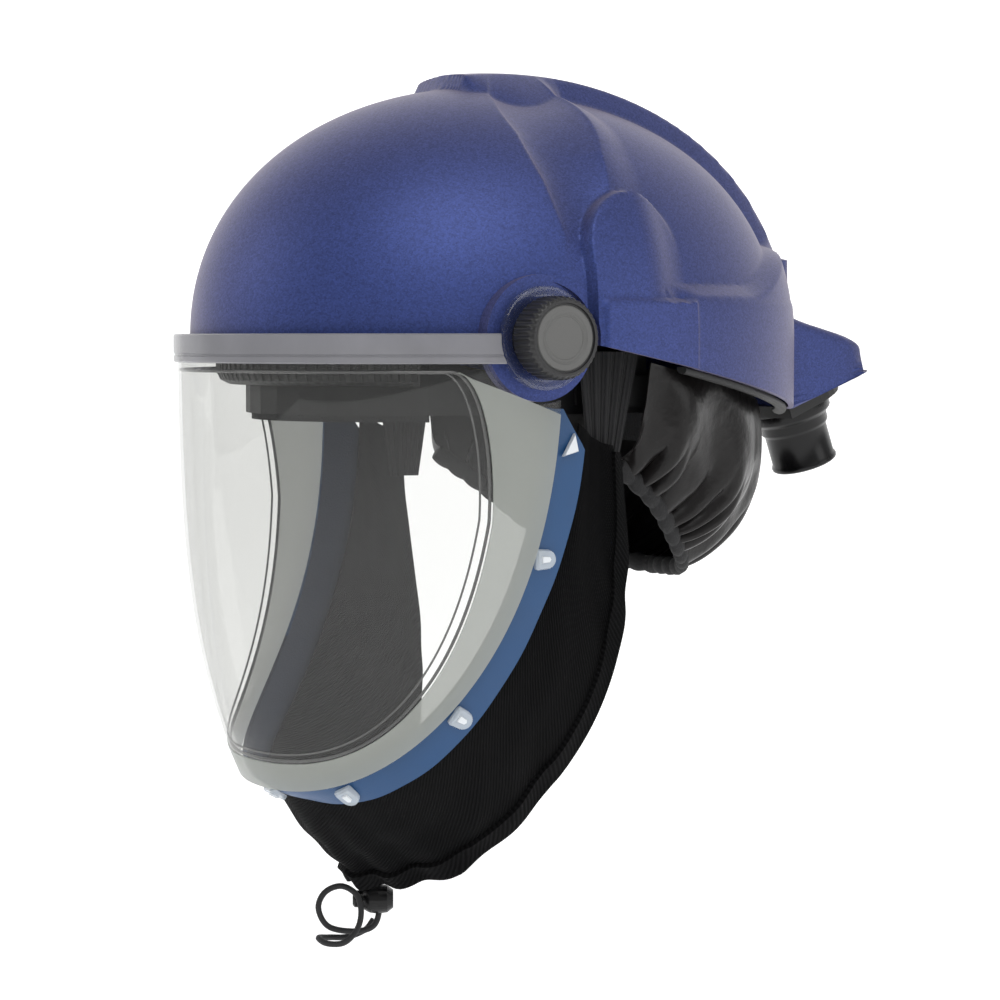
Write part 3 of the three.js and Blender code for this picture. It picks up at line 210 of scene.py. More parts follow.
def relief(x, y, z):
    """Height of the moulded features over the plain dome, in millimetres."""
    side = np.abs(x)
    turn = np.degrees(np.arctan2(y - CENTRE_Y, np.maximum(side, 1e-6)))
    front_crease = np.interp(z, [20, 28, 44, 69, 92, 108, 118], [-16, -16, -15, -19, -25, -33, -42])
    rear_crease = np.interp(z, [20, 66, 84, 104, 118], [0, 0, 3.5, 12, 20])
    across = np.clip((turn - front_crease) / (rear_crease - front_crease), 0, 1)
    deep = ramp(z, 20, 85) * TROUGH
    trough = deep * np.sin(np.pi * across ** 0.8) ** 0.75
    behind = ramp(turn, rear_crease - 4, rear_crease)
    # rear side panel, let in between the ridge and the lower belt
    belt_z = 18 + 26 * ramp(y, 118, 190)
    belt = straight(belt_z + 7 - z, 0, 7)
    ridge_half = 20 + 8 * ramp(y, 60, 190)
    scoop = 13 * np.sin(np.pi * np.clip((y - 11) / 52, 0, 1)) * (z > 60)
    ridge = 1 - straight(side, ridge_half, ridge_half + 8 + scoop)
    ridge *= straight(y, 10, 14) * (z > 15)
    panel = PANEL * behind * ramp(turn, rear_crease - 1, rear_crease + 14)
    body = panel + (BELT - panel) * belt * ramp(y, 60, 80)
    body = np.where(z > 20, body * behind, body * ramp(y, 60, 80))
    # pod arch over the ear
    arch = np.where(z < 38, y - 21.5, 29 - np.hypot(y - 50.5, (z - 38) * 29 / 28))
    pod = ramp(arch, 0, 3.6) * (1 - ramp(y, 50, 80))
    lower = straight(y, 26.4, 28.6) * straight(17.4 - z, 0, 2.2)
    height = np.maximum(body, body + (POD - body) * pod)
    height = np.where(pod > 0, body + (POD - body) * pod, height)
    height = height + (POD + 1.3 - height) * lower * (1 - straight(y, 77.4, 79.6))
    height = height + (BELT + 0.6 - height) * lower * straight(y, 77.4, 79.6)
    height = height + trough * (1 - pod)
    return height + (RIDGE - height) * ridge


def shell_grid(columns, rows):
    phi = np.linspace(0, 2 * np.pi, columns)
    phi = phi + 0.22 * np.sin(2 * phi)  # columns stand closer at the sides, where the relief is
    rise = np.linspace(0, 1, rows) ** 1.12
    P, S = np.meshgrid(phi, rise, indexing="ij")
    low = rim_z(CENTRE_Y - HALF_LENGTH * np.cos(P))
    z = low + (HEIGHT - low) * np.sin(S * np.pi / 2)
    up = np.clip(z, 0, None) / HEIGHT
    reach = np.clip(1 - up**ROUND, 0, None) ** (1 / ROUND)
    x = HALF_WIDTH * reach * np.sin(P)
    y = CENTRE_Y - HALF_LENGTH * reach * np.cos(P)
    # outward direction of the dome at each place
    nx, ny = x / HALF_WIDTH**2, (y - CENTRE_Y) / HALF_LENGTH**2
    nz = np.where(z > 0, up ** (ROUND - 1) / HEIGHT * np.maximum(reach, 0.02) ** (2 - ROUND), 0)
    size = np.sqrt(nx**2 + ny**2 + nz**2)
    normal = np.stack([nx, ny, nz], -1) / size[..., None]
    place = np.stack([x, y, z], -1)
    return place, normal


TAIL_HALF, TAIL_END, TAIL_TOP = 38.0, 243.0, 9.0
INLET_TILT, INLET_Y, INLET_Z, BASE_THICKNESS = math.radians(19.8), 220.0, -31.0, 6.0
dome, dome_normal = shell_grid(561, 145)
h = relief(dome[..., 0], dome[..., 1], dome[..., 2])
shell_points = dome + dome_normal * h[..., None]
# tail: push the low rear of the shell out to a rounded box
x, y, z = shell_points[..., 0], shell_points[..., 1], shell_points[..., 2]
plan = np.hypot(x, y - CENTRE_Y)
sine, cosine = np.abs(x) / np.maximum(plan, 1e-6), (y - CENTRE_Y) / np.maximum(plan, 1e-6)
tail_end = TAIL_END - 46 * ramp(z, -6, TAIL_TOP + 4) ** 1.3 - 3 * ramp(z, -30, 0)
half = TAIL_HALF + 3 - 5 * straight(z, -30, TAIL_TOP)
to_side = half / np.maximum(sine, 1e-4)
to_end = (tail_end - CENTRE_Y) / np.maximum(cosine, 1e-4)
k = 26.0
tail_reach = (to_side ** -k + to_end ** -k) ** (-1 / k)
tail_reach = np.where((cosine > 0.5) & (z < 40), tail_reach, 0)
soft = 5.0
eased = soft * 0.25 * np.clip(1 - np.abs(tail_reach - plan) / soft, 0, 1) ** 2
grown = np.where(tail_reach > plan - soft, np.maximum(plan, tail_reach) + eased, plan)
shell_points[..., 0] *= grown / np.maximum(plan, 1e-6)
shell_points[..., 1] = CENTRE_Y + (y - CENTRE_Y) * grown / np.maximum(plan, 1e-6)
# the tail's lower edge slopes up to the rear
slope_z = INLET_Z + BASE_THICKNESS / math.cos(INLET_TILT) + 0.3 + math.tan(INLET_TILT) * (shell_points[...,
        1] - INLET_Y)
under = (np.abs(shell_points[..., 0]) < TAIL_HALF + 6) & (shell_points[..., 1] > 185)
lift = np.where(under, slope_z, -99)
shell_points[..., 2] = np.where(under & (shell_points[..., 2] < lift), lift, shell_points[..., 2])
COARSE = 4  # the inside has one point for this many outside
along = np.gradient(shell_points, axis=0)
along[0] = along[-1] = shell_points[1] - shell_points[-2]
shell_normal = np.cross(along, np.gradient(shell_points, axis=1))[:, :-1]
shell_normal /= np.linalg.norm(shell_normal, axis=2, keepdims=True)
outside = shell_points[:-1, :-1]
facing_out = np.sign(np.sum(shell_normal * dome_normal[:, :-1], axis=2))[..., None]
inside = (shell_points[:, :-1] - shell_normal * WALL * facing_out)[:-1:COARSE, ::COARSE]
nu, nv = outside.shape[:2]
cu, cv = inside.shape[:2]
crown = [[0, outside[0, -1, 1], outside[:, -1, 2].max()]]
under_crown = [[0, outside[0, -1, 1], inside[:, -1, 2].max()]]
points = np.concatenate([outside.reshape(-1, 3), inside.reshape(-1, 3), crown, under_crown]) / 1000
faces = [(i * nv + j, (i + 1) % nu * nv + j, (i + 1) % nu * nv + j + 1, i * nv + j + 1)
         for i in range(nu) for j in range(nv - 1)]
first = nu * nv
faces += [(first + i * cv + j, first + i * cv + j + 1, first + (i + 1) % cu * cv + j + 1,
           first + (i + 1) % cu * cv + j)
          for i in range(cu) for j in range(cv - 1)]
faces += [(first + i * cv, first + (i + 1) % cu * cv, *[(COARSE * i + k) % nu * nv for k in range(COARSE,
        -1, -1)])
          for i in range(cu)]
top = first + cu * cv
faces += [(i * nv + nv - 1, (i + 1) % nu * nv + nv - 1, top) for i in range(nu)]
faces += [(first + (i + 1) % cu * cv + cv - 1, first + i * cv + cv - 1, top + 1) for i in range(cu)]
shell = outward(mesh_of("helmet_shell", points, faces))
SHELL_WELD = 0.00005
bpy.context.view_layer.objects.active = shell
weld = shell.modifiers.new("weld", "WELD")
weld.merge_threshold = SHELL_WELD
bpy.ops.object.modifier_apply(modifier="weld")


def rod_x(name, radius, start, end, sides=96):
    """A cylinder along X, in millimetres."""
    bpy.ops.mesh.primitive_cylinder_add(vertices=sides, radius=radius / 1000, depth=abs(end - start) / 1000,
                                        location=((start + end) / 2000, 0, 0), rotation=(0, math.pi / 2, 0))
    made = bpy.context.object
    bpy.ops.object.transform_apply(location=True, rotation=True, scale=True)
    made.name = name
    return made


def combine(obj, tool, way):
    step = obj.modifiers.new("combine", "BOOLEAN")
    step.operation = way
    step.object = tool
    step.solver = "EXACT"
    bpy.context.view_layer.objects.active = obj
    bpy.ops.object.modifier_apply(modifier="combine")
    bpy.data.objects.remove(tool)


BOSS_FACE, BOSS_RADIUS, POCKET_RADIUS = 106.5, 27.5, 25.0
for way in (1, -1):
    combine(shell, rod_x("boss", BOSS_RADIUS, way * 99, way * BOSS_FACE), "UNION")
    combine(shell, rod_x("pocket", POCKET_RADIUS, way * BOSS_FACE, way * 125), "DIFFERENCE")
    combine(shell, rod_x("stud hole", 4.4, way * 80, way * 125, 32), "DIFFERENCE")

BLUE = (0.03, 0.05, 0.19)
# a lighter grey-violet for grazing angles: painted sheen
PAINTED_SHEEN = (0.19, 0.165, 0.235)
paint = bpy.data.materials.new("metallic blue paint")
paint.use_nodes = True
nodes, links = paint.node_tree.nodes, paint.node_tree.links
shader = nodes["Principled BSDF"]
shader.inputs["Metallic"].default_value = 0.62
shader.inputs["Roughness"].default_value = 0.5
shader.inputs["Coat Weight"].default_value = 0.12
shader.inputs["Coat Roughness"].default_value = 0.42
place = nodes.new("ShaderNodeTexCoord")
flakes = nodes.new("ShaderNodeTexVoronoi")
flakes.inputs["Scale"].default_value = 1500
links.new(place.outputs["Object"], flakes.inputs["Vector"])
glint = nodes.new("ShaderNodeMapRange")
glint.inputs["To Min"].default_value = 0.72
glint.inputs["To Max"].default_value = 1.35
links.new(flakes.outputs["Color"], glint.inputs["Value"])
# Painted sheen: towards grazing angles the base colour turns from the blue to a lighter grey-violet.
facing = nodes.new("ShaderNodeLayerWeight")
facing.inputs["Blend"].default_value = 0.42
blue = nodes.new("ShaderNodeMix")
blue.data_type = "RGBA"
blue.inputs["A"].default_value = (*BLUE, 1)
blue.inputs["B"].default_value = (*PAINTED_SHEEN, 1)
rim_light = nodes.new("ShaderNodeMath")
rim_light.operation = "POWER"
rim_light.inputs[1].default_value = 1.8
links.new(facing.outputs["Facing"], rim_light.inputs[0])
links.new(rim_light.outputs["Value"], blue.inputs["Factor"])
sparkle = nodes.new("ShaderNodeVectorMath")
sparkle.operation = "SCALE"
links.new(blue.outputs["Result"], sparkle.inputs[0])
links.new(glint.outputs["Result"], sparkle.inputs["Scale"])
links.new(sparkle.outputs["Vector"], shader.inputs["Base Color"])
speck = nodes.new("ShaderNodeTexNoise")
speck.inputs["Scale"].default_value = 1700
links.new(place.outputs["Object"], speck.inputs["Vector"])
bump = nodes.new("ShaderNodeBump")
bump.inputs["Strength"].default_value = 0.3
bump.inputs["Distance"].default_value = 0.0002
links.new(speck.outputs["Fac"], bump.inputs["Height"])
links.new(bump.outputs["Normal"], shader.inputs["Normal"])
use(shell, paint, "helmet", replaces=["outer_shell"])


# ---- rubber edging under the rim ---------------------------------------------------------------------------
# A dark strip on each side that wraps the lower edge of the shell from the ear to the tail.
# It follows the rim line.
def dome_at(phi, inset, drop=0.0):
    """A point of the rim line, phi radians round from the front, moved in and down."""
    y = CENTRE_Y - (HALF_LENGTH - inset) * np.cos(phi)
    return np.array([(HALF_WIDTH - inset) * np.sin(phi), y, rim_z(y) - drop])


def loft(name, rings):
    """A solid through equal rings of points, in millimetres, with closed ends."""
    rings = np.asarray(rings, float)
    n, m = rings.shape[:2]
    faces = [(i * m + k, i * m + (k + 1) % m, (i + 1) * m + (k + 1) % m, (i + 1) * m + k)
             for i in range(n - 1) for k in range(m)]
    faces += [tuple(range(m))[::-1], tuple((n - 1) * m + k for k in range(m))]
    return outward(mesh_of(name, rings.reshape(-1, 3) / 1000, faces))


edge_grey = finish_of("rubber edging", (0.01, 0.01, 0.0105), 0.55, grain=0.3, grain_size=0.0006)
for side, word in ((1, "left"), (-1, "right")):
    rings = []
    for phi in np.radians(np.linspace(102, 158, 90)):
        outline = [(-1.0, 0.1), (0.3, -0.3), (4.4, 0.1), (4.6, 1.6), (3.4, 2.7), (1.0, 3.0), (-0.6, 2.4),
                   (-1.2, 1.2)]
        rings.append([dome_at(phi, a, b) * [side, 1, 1] for a, b in outline])
    use(loft("rim_edging_" + word, rings), edge_grey, "helmet", replaces=["edge_trim_" + word])

# ---- hose inlet --------------------------------------------------------------------------------------------
# A stepped black spigot that turns in the base plate under the tail, tilted back from straight down.
matt_black = finish_of("matt black plastic", (0.009, 0.009, 0.0095), 0.5, grain=0.25, grain_size=0.0005)
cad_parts["rear_base"].data.materials.clear()
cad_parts["rear_base"].data.materials.append(matt_black)
INLET_DOWN = Vector((0, math.sin(INLET_TILT), -math.cos(INLET_TILT)))


def lathe(name, outline, place, direction, sides=96):
    """A solid turned about a line from [radius, distance along] points, closed round the outline."""
    turn = Vector((0, 0, 1)).rotation_difference(Vector(direction))
    angles = np.linspace(0, 2 * np.pi, sides, endpoint=False)
    rings = [[tuple((turn @ Vector((r * math.cos(a), r * math.sin(a), d))) / 1000 + Vector(place) / 1000)
              for r, d in outline] for a in angles]
    n, m = sides, len(outline)
    points = [p for ring in rings for p in ring]
    faces = [(i * m + k, i * m + (k + 1) % m, ((i + 1) % n) * m + (k + 1) % m, ((i + 1) % n) * m + k)
             for i in range(n) for k in range(m)]
    made = mesh_of(name, points, faces)
    weld = made.modifiers.new("weld", "WELD")
    weld.merge_threshold = 0.00001
    bpy.context.view_layer.objects.active = made
    bpy.ops.object.modifier_apply(modifier="weld")
    return outward(made)


under = 3.3
spigot = lathe("inlet_spigot", [
    (12.5, -8.6), (18.4, -8.6), (18.6, -8.2), (18.6, -6.6), (18.4, -6.4), (16.2, -6.4), (16.2, under),
    (20.4, under),
    (20.8, under + 0.4), (20.8, under + 4.6), (20.3, under + 5.4), (18.2, under + 7.2), (17.8, under + 7.8),
    (17.8, under + 11.4), (17.4, under + 12.2), (16.6, under + 13.2), (16.2, under + 14), (16.2, 32.5),
    (16.9, 33.6),
    (17.1, 34.4), (16.9, 35.4), (16.2, 36), (13.2, 36), (12.5, 35.3)], (0, INLET_Y, INLET_Z), INLET_DOWN)
use(spigot, satin_black, "hose_inlet", replaces=["hose_spigot"])

# ---- visor -------------------------------------------------------------------------------------------------
# One clear curved pane with a frosted border round its window, hung from a band that ends in two ears.
# All of it follows the same tapering surface.
VISOR_HALF, BAND_WALL, VISOR_DEPTH, VISOR_HEIGHT = 111.3, 3.2, 110.5, 203.0
EDGE_ANGLE = 95.0
EAR_X, EAR_RADIUS, EAR_GAP = 108.3, 22.5, 28.5


def visor_at(angle, z, out=0.0):
    """Outer surface of the visor: angle in degrees round from the front, height z, moved out."""
    angle, z = np.radians(angle), np.asarray(z, float)
    down = np.clip(-z / VISOR_HEIGHT, 0, 1.1)
    half = VISOR_HALF - BAND_WALL - 0.3 - 27 * down**1.6 + out
    depth = VISOR_DEPTH - 28 * down**3.5 + out
    return np.stack([half * np.sin(angle), -depth * np.cos(angle), z + 0 * angle], -1)


def bottom_of(angle, widest, lowest, power):
    return lowest * np.clip(1 - (np.abs(angle) / widest) ** power, 0, None) ** (1 / power)


def plate(name, surface, thickness, uv_size=(1, 1), wrap=False):
    """A closed cloth or plate from a grid of outer points [columns, rows, 3] in millimetres."""
    outer = np.asarray(surface, float)
    nu, nv = outer.shape[:2]
    along = np.gradient(outer, axis=0)
    if wrap:
        along[0] = along[-1] = outer[1] - outer[-2]
    normal = np.cross(along, np.gradient(outer, axis=1))
    normal /= np.maximum(np.linalg.norm(normal, axis=2, keepdims=True), 1e-9)
    inner = outer - normal * thickness
    points = np.concatenate([outer.reshape(-1, 3), inner.reshape(-1, 3)]) / 1000
    u, v = np.meshgrid(np.linspace(0, uv_size[0], nu), np.linspace(0, uv_size[1], nv), indexing="ij")
    uv = np.tile(np.stack([u, v], -1).reshape(-1, 2), (2, 1))
    at = lambda i, j, side: side * nu * nv + i * nv + j
    faces = []
    for i in range(nu - 1):
        for j in range(nv - 1):
            faces.append((at(i, j, 0), at(i + 1, j, 0), at(i + 1, j + 1, 0), at(i, j + 1, 0)))
            faces.append((at(i, j, 1), at(i, j + 1, 1), at(i + 1, j + 1, 1), at(i + 1, j, 1)))
        faces.append((at(i, 0, 0), at(i, 0, 1), at(i + 1, 0, 1), at(i + 1, 0, 0)))
        faces.append((at(i, nv - 1, 0), at(i + 1, nv - 1, 0), at(i + 1, nv - 1, 1), at(i, nv - 1, 1)))
    for j in range(nv - 1):
        faces.append((at(0, j, 0), at(0, j + 1, 0), at(0, j + 1, 1), at(0, j, 1)))
        faces.append((at(nu - 1, j, 0), at(nu - 1, j, 1), at(nu - 1, j + 1, 1), at(nu - 1, j + 1, 0)))
    return outward(mesh_of(name, points, faces, uv))


clear = bpy.data.materials.new("clear polycarbonate")
clear.use_nodes = True
nodes, links = clear.node_tree.nodes, clear.node_tree.links
nodes.remove(nodes["Principled BSDF"])
through = nodes.new("ShaderNodeBsdfTransparent")
through.inputs["Color"].default_value = (0.89, 0.892, 0.885, 1)
haze = nodes.new("ShaderNodeBsdfDiffuse")
haze.inputs["Color"].default_value = (0.8, 0.8, 0.79, 1)
hazed = nodes.new("ShaderNodeMixShader")
hazed.inputs["Fac"].default_value = 0.007
links.new(through.outputs["BSDF"], hazed.inputs[1])
links.new(haze.outputs["BSDF"], hazed.inputs[2])
shine = nodes.new("ShaderNodeBsdfGlossy")
shine.inputs["Roughness"].default_value = 0.03
facing = nodes.new("ShaderNodeLayerWeight")
facing.inputs["Blend"].default_value = 0.5
steep = nodes.new("ShaderNodeMath")
steep.operation = "POWER"
steep.inputs[1].default_value = 5
links.new(facing.outputs["Facing"], steep.inputs[0])
edge = nodes.new("ShaderNodeMath")
edge.operation = "MULTIPLY_ADD"
edge.inputs[1].default_value = 0.5
edge.inputs[2].default_value = 0.03
links.new(steep.outputs["Value"], edge.inputs[0])
both = nodes.new("ShaderNodeMixShader")
links.new(edge.outputs["Value"], both.inputs["Fac"])
links.new(hazed.outputs["Shader"], both.inputs[1])
links.new(shine.outputs["BSDF"], both.inputs[2])
links.new(both.outputs["Shader"], nodes["Material Output"].inputs["Surface"])

u = np.linspace(-1, 1, 181)
columns = EDGE_ANGLE * np.sin(u * np.pi / 2)
grid = []
for angle in columns:
    behind = VISOR_DEPTH * math.cos(math.radians(angle))
    high = min(-4.0, -math.sqrt(max(EAR_GAP**2 - behind**2, 0)))
    low = min(float(bottom_of(angle, EDGE_ANGLE + 0.02, -VISOR_HEIGHT, 2.7)), high - 0.5)
    grid.append(visor_at(np.full(61, angle), np.linspace(high, low, 61)))
lens = plate("visor_pane", np.array(grid), 1.6)
use(lens, clear, "visor", replaces=["visor_lens"])


def border_line(steps, angle_scale, low, power, first=0.055):
    """Points [angle, z] round a U from one side of the visor to the other."""
    way = np.abs(np.linspace(-1, 1, steps))
    t = (1 - way * (1 - first)) * np.pi / 2
    angle = np.sign(np.linspace(-1, 1, steps)) * angle_scale * np.cos(t) ** (2 / power)
    return angle, low * np.sin(t) ** (2 / power)


# frosted border between the clear window and the edge
STEPS = 240


def window_line(scale, low, steps):
    """Points [angle, z] of a U round the window, with rounded top corners."""
    angle, z = border_line(200, scale, low, 3.2, first=0.16)
    keep = z < -24
    angle, z = angle[keep], z[keep]
    corner = np.linspace(0, np.pi / 2, 14)[1:]
    lead_angle = angle[0] - np.sign(angle[0]) * 10 * (1 - np.cos(corner))
    lead_z = z[0] + (-14.5 - z[0]) * np.sin(corner)
    path = np.concatenate([np.stack([lead_angle[::-1], lead_z[::-1]], 1), np.stack([angle, z], 1),
                           np.stack([-lead_angle, lead_z], 1)])
    far = np.concatenate([[0], np.cumsum(np.hypot(np.diff(path[:, 0]) * 1.9, np.diff(path[:, 1])))])
    even = np.linspace(0, far[-1], steps)
    return np.interp(even, far, path[:, 0]), np.interp(even, far, path[:, 1])


out_angle, out_z = border_line(STEPS, EDGE_ANGLE, -VISOR_HEIGHT, 2.7)
out_z = np.minimum(out_z, -12.5)
in_angle, in_z = window_line(80.4, -190, STEPS)
if in_angle[0] * out_angle[0] < 0:
    in_angle, in_z = in_angle[::-1], in_z[::-1]
frosted = bpy.data.materials.new("frosted polycarbonate")
frosted.use_nodes = True
nodes, links = frosted.node_tree.nodes, frosted.node_tree.links
shader = nodes["Principled BSDF"]
shader.inputs["Base Color"].default_value = (0.42, 0.44, 0.41, 1)
shader.inputs["Roughness"].default_value = 0.3
place = nodes.new("ShaderNodeTexCoord")
grain = nodes.new("ShaderNodeTexNoise")
grain.inputs["Scale"].default_value = 1400
links.new(place.outputs["Object"], grain.inputs["Vector"])
bump = nodes.new("ShaderNodeBump")
bump.inputs["Strength"].default_value = 0.25
bump.inputs["Distance"].default_value = 0.0003
links.new(grain.outputs["Fac"], bump.inputs["Height"])
links.new(bump.outputs["Normal"], shader.inputs["Normal"])
milky = nodes.new("ShaderNodeBsdfTranslucent")
milky.inputs["Color"].default_value = (0.8, 0.82, 0.79, 1)
lit = nodes.new("ShaderNodeMixShader")
lit.inputs["Fac"].default_value = 0.3
links.new(shader.outputs["BSDF"], lit.inputs[1])
links.new(milky.outputs["BSDF"], lit.inputs[2])
gap = nodes.new("ShaderNodeBsdfTransparent")
cover = nodes.new("ShaderNodeMixShader")
cover.inputs["Fac"].default_value = 0.62
links.new(gap.outputs["BSDF"], cover.inputs[1])
links.new(lit.outputs["Shader"], cover.inputs[2])
links.new(cover.outputs["Shader"], nodes["Material Output"].inputs["Surface"])
grid = []
for k in range(STEPS):
    share = np.linspace(0, 1, 9)
    angle = in_angle[k] + (out_angle[k] - in_angle[k]) * share
    grid.append(visor_at(angle, in_z[k] + (out_z[k] - in_z[k]) * share, 1.3))
border = plate("frosted_border", np.array(grid), 0.9)
combine(border, rod_x("ear gap", EAR_RADIUS + 0.8, -140, 140), "DIFFERENCE")
use(border, frosted, "visor", replaces=["visor_border"])

# raised double line round the window
bead_clear = finish_of("bead", (0.12, 0.12, 0.12), 0.12, alpha=0.85)
for name, scale, low, width in (("window_bead_outer", 79.8, -189, 0.75),
                                ("window_bead_inner", 77.4, -186, 0.5)):
    angle, z = window_line(scale, low, 300)
    top = np.linspace(angle[-1], angle[0], 40)[1:-1]
    centre = visor_at(np.concatenate([angle, top]), np.concatenate([z, np.full(38, z[-1])]), 0.35)
    data = bpy.data.curves.new(name, "CURVE")
    data.dimensions = "3D"
    data.bevel_depth = width / 1000
    data.bevel_resolution = 2
    spline = data.splines.new("POLY")
    spline.points.add(len(centre) - 1)
    for point, at in zip(spline.points, centre / 1000):
        point.co = (*at, 1)
    spline.use_cyclic_u = True
    holder = bpy.data.objects.new(name + "_line", data)
    bpy.context.scene.collection.objects.link(holder)
    bpy.context.view_layer.update()
    solid_line = holder.evaluated_get(bpy.context.evaluated_depsgraph_get())
    bead = bpy.data.objects.new(name, bpy.data.meshes.new_from_object(solid_line))
    bpy.data.objects.remove(holder)
    bpy.context.scene.collection.objects.link(bead)
    use(bead, bead_clear, "visor")

# top band and ears: modelled anew in place of the CAD visor frame, which is hidden
band_finish = finish_of("frosted band", (0.25, 0.25, 0.27), 0.16, grain=0.2, grain_size=0.0008, alpha=0.78,
                        mottle=0.15)
plan_angle = np.radians(np.linspace(-70, 70, 160))
line = np.stack([VISOR_HALF * np.sin(plan_angle), -(VISOR_DEPTH + 3.5) * np.cos(plan_angle)], 1)
line = np.vstack([[-VISOR_HALF, -15], [-VISOR_HALF + 0.6, -21], [-VISOR_HALF + 2, -27.5], line,
                  [VISOR_HALF - 2, -27.5], [VISOR_HALF - 0.6, -21], [VISOR_HALF, -15]])
along = np.gradient(line, axis=0)
normal = np.stack([-along[:, 1], along[:, 0]], 1)
normal /= np.linalg.norm(normal, axis=1, keepdims=True)
rings = []
for p, n in zip(line, normal):
    section = [(0, 1.4), (0.6, 2), (2.6, 2), (3.2, 1.4), (3.2, -10.4), (2.8, -11), (0.6, -11), (0, -10.4),
               (0, -8.2), (0.5, -7.8),
               (0.5, -7.2), (0, -6.8)]
    rings.append([(p[0] + n[0] * a, p[1] + n[1] * a, z) for a, z in section])
band = loft("visor_top_band", rings)
combine(band, rod_x("gap", 27.8, -107.5, 107.5), "DIFFERENCE")
combine(band, rod_x("ear place", EAR_RADIUS + 0.05, -140, 140), "DIFFERENCE")
use(band, band_finish, "visor")
for way in (1, -1):
    d = (way, 0, 0)
    ear = lathe("visor_ear_" + ("left" if way > 0 else "right"), [
        (4.4, 0), (EAR_RADIUS, 0), (EAR_RADIUS, 3.0), (EAR_RADIUS - 0.5, 3.4), (EAR_RADIUS - 1.6, 3.4),
        (EAR_RADIUS - 2.1, 3.0),
        (EAR_RADIUS - 3.4, 2.6), (EAR_RADIUS - 3.6, 2.2), (4.4, 2.2)], (way * EAR_X, 0, 0), d)
    use(ear, clear, "visor")
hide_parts("visor_frame")

# ---- blue edge gasket, its clips and hooks -----------------------------------------------------------------
# A vinyl strip bent round the lower edge of the pane; its inner face gets a darker navy as painted shade.
# Seven clear clips and two white hooks lie on it. A light grey piece on each clip is a painted glint.
LAP, SIDE_WIDTH, CHIN_WIDTH, GASKET_START = 5.0, 18.0, 13.0, 0.05
LENS_BACK = -2.4


def gasket_at(turn):
    """Places, directions and width of the gasket; turn is 0 at the chin, 1 and -1 at its ends."""
    side = 1.0 if turn >= 0 else -1.0
    way = 1 + (GASKET_START - 1) * abs(turn)
    t = way * np.pi / 2
    angle, z = EDGE_ANGLE * np.cos(t) ** (2 / 2.7), -VISOR_HEIGHT * np.sin(t) ** (2 / 2.7)
    bend = visor_at(side * angle, z, LENS_BACK)
    scale = 1 - LAP / VISOR_HEIGHT
    lap = visor_at(side * angle * scale, z * scale, LENS_BACK)
    lean = math.radians(45 * float(ramp(np.array(way), 0.3, 0.7)) - 15 * float(ramp(np.array(way), 0.75, 1)))
    out = np.array([0, math.cos(lean), -math.sin(lean)])
    a = math.radians(angle)
    inward = np.array([-math.sin(side * a), math.cos(a) * math.sin(lean), math.cos(a) * math.cos(lean)])
    width = SIDE_WIDTH + (CHIN_WIDTH - SIDE_WIDTH) * float(ramp(np.array(way), 0, 1))
    return bend, lap, out, inward / np.linalg.norm(inward), np.array([-math.sin(side * a), math.cos(a),
            0]), width


vinyl = finish_of("blue vinyl", (0.006, 0.055, 0.16), 0.42, grain=0.25, grain_size=0.0009, mottle=0.12)
rings = []
for turn in np.linspace(-1, 1, 260):
    bend, lap, out, inward, lap_in, width = gasket_at(turn)
    end_cut = 1 - 0.75 * max(0, (abs(turn) - 0.955) / 0.045)
    wave = 0.35 * math.sin(turn * 37) * math.sin(turn * 11 + 1)
    tip = bend + out * width * end_cut + inward * wave
    middle = inward + lap_in
    middle /= np.linalg.norm(middle)
    mid = bend + out * width * end_cut * 0.5 - inward * (0.5 + wave * 0.4)
    rings.append([lap, bend, mid, tip - out * 0.5, tip, tip + inward * 1.6, mid + inward * 2,
                  bend + middle * 2.2, lap + lap_in * 2])
gasket = loft("gasket_strip", rings)
use(gasket, vinyl, "visor", replaces=["edge_gasket"])
# Painted shade: the gasket's faces turned inwards get a second, darker navy material.
vinyl_inner_painted_shade = finish_of("vinyl inner face painted shade", (0.004, 0.014, 0.045), 0.6, grain=0.5, grain_size=0.0009)
gasket.data.materials.append(vinyl_inner_painted_shade)
for face in gasket.data.polygons:
    if face.normal.x * face.center.x < -0.2 * abs(face.center.x):
        face.material_index = 1


def clip(name, turn, share, outline, thick, hole=None):
    """A small piece lying on the gasket; outline is in millimetres, along and across the way out."""
    bend, lap, out, inward, lap_in, width = gasket_at(turn)
    across = np.cross(out, inward)
    across /= np.linalg.norm(across)
    normal = -np.cross(across, out) if np.dot(np.cross(across, out), inward) > 0 else np.cross(across, out)
    base = bend + out * width * share + normal * 0.9
    centre = np.mean(outline, axis=0)
    rings = []
    for height, shrink in ((0, 1.0), (thick * 0.65, 1.0), (thick, 0.86)):
        ring = [centre + (np.array(p) - centre) * shrink for p in outline]
        rings.append([base + out * p[0] + across * p[1] + normal * height for p in ring])
    return loft(name, rings)


clip_clear = finish_of("clear clip plastic", (0.62, 0.68, 0.74), 0.12, grain=0.25, grain_size=0.0012,
                       alpha=0.5, coat=0.3)
clip_nose = [(6 + 4.2 * math.cos(a), 4.3 * math.sin(a)) for a in np.linspace(-1.2, 1.2, 11)]
rim_of_clip = [(0, -4), (1, -4.6), (6, -4.4), *clip_nose, (6, 4.4), (1, 4.6), (0, 4)]
glint_of_clip = [(2.4, -1.6), (6.4, -1.3), (7.2, 0), (6.4, 1.3), (2.4, 1.6)]
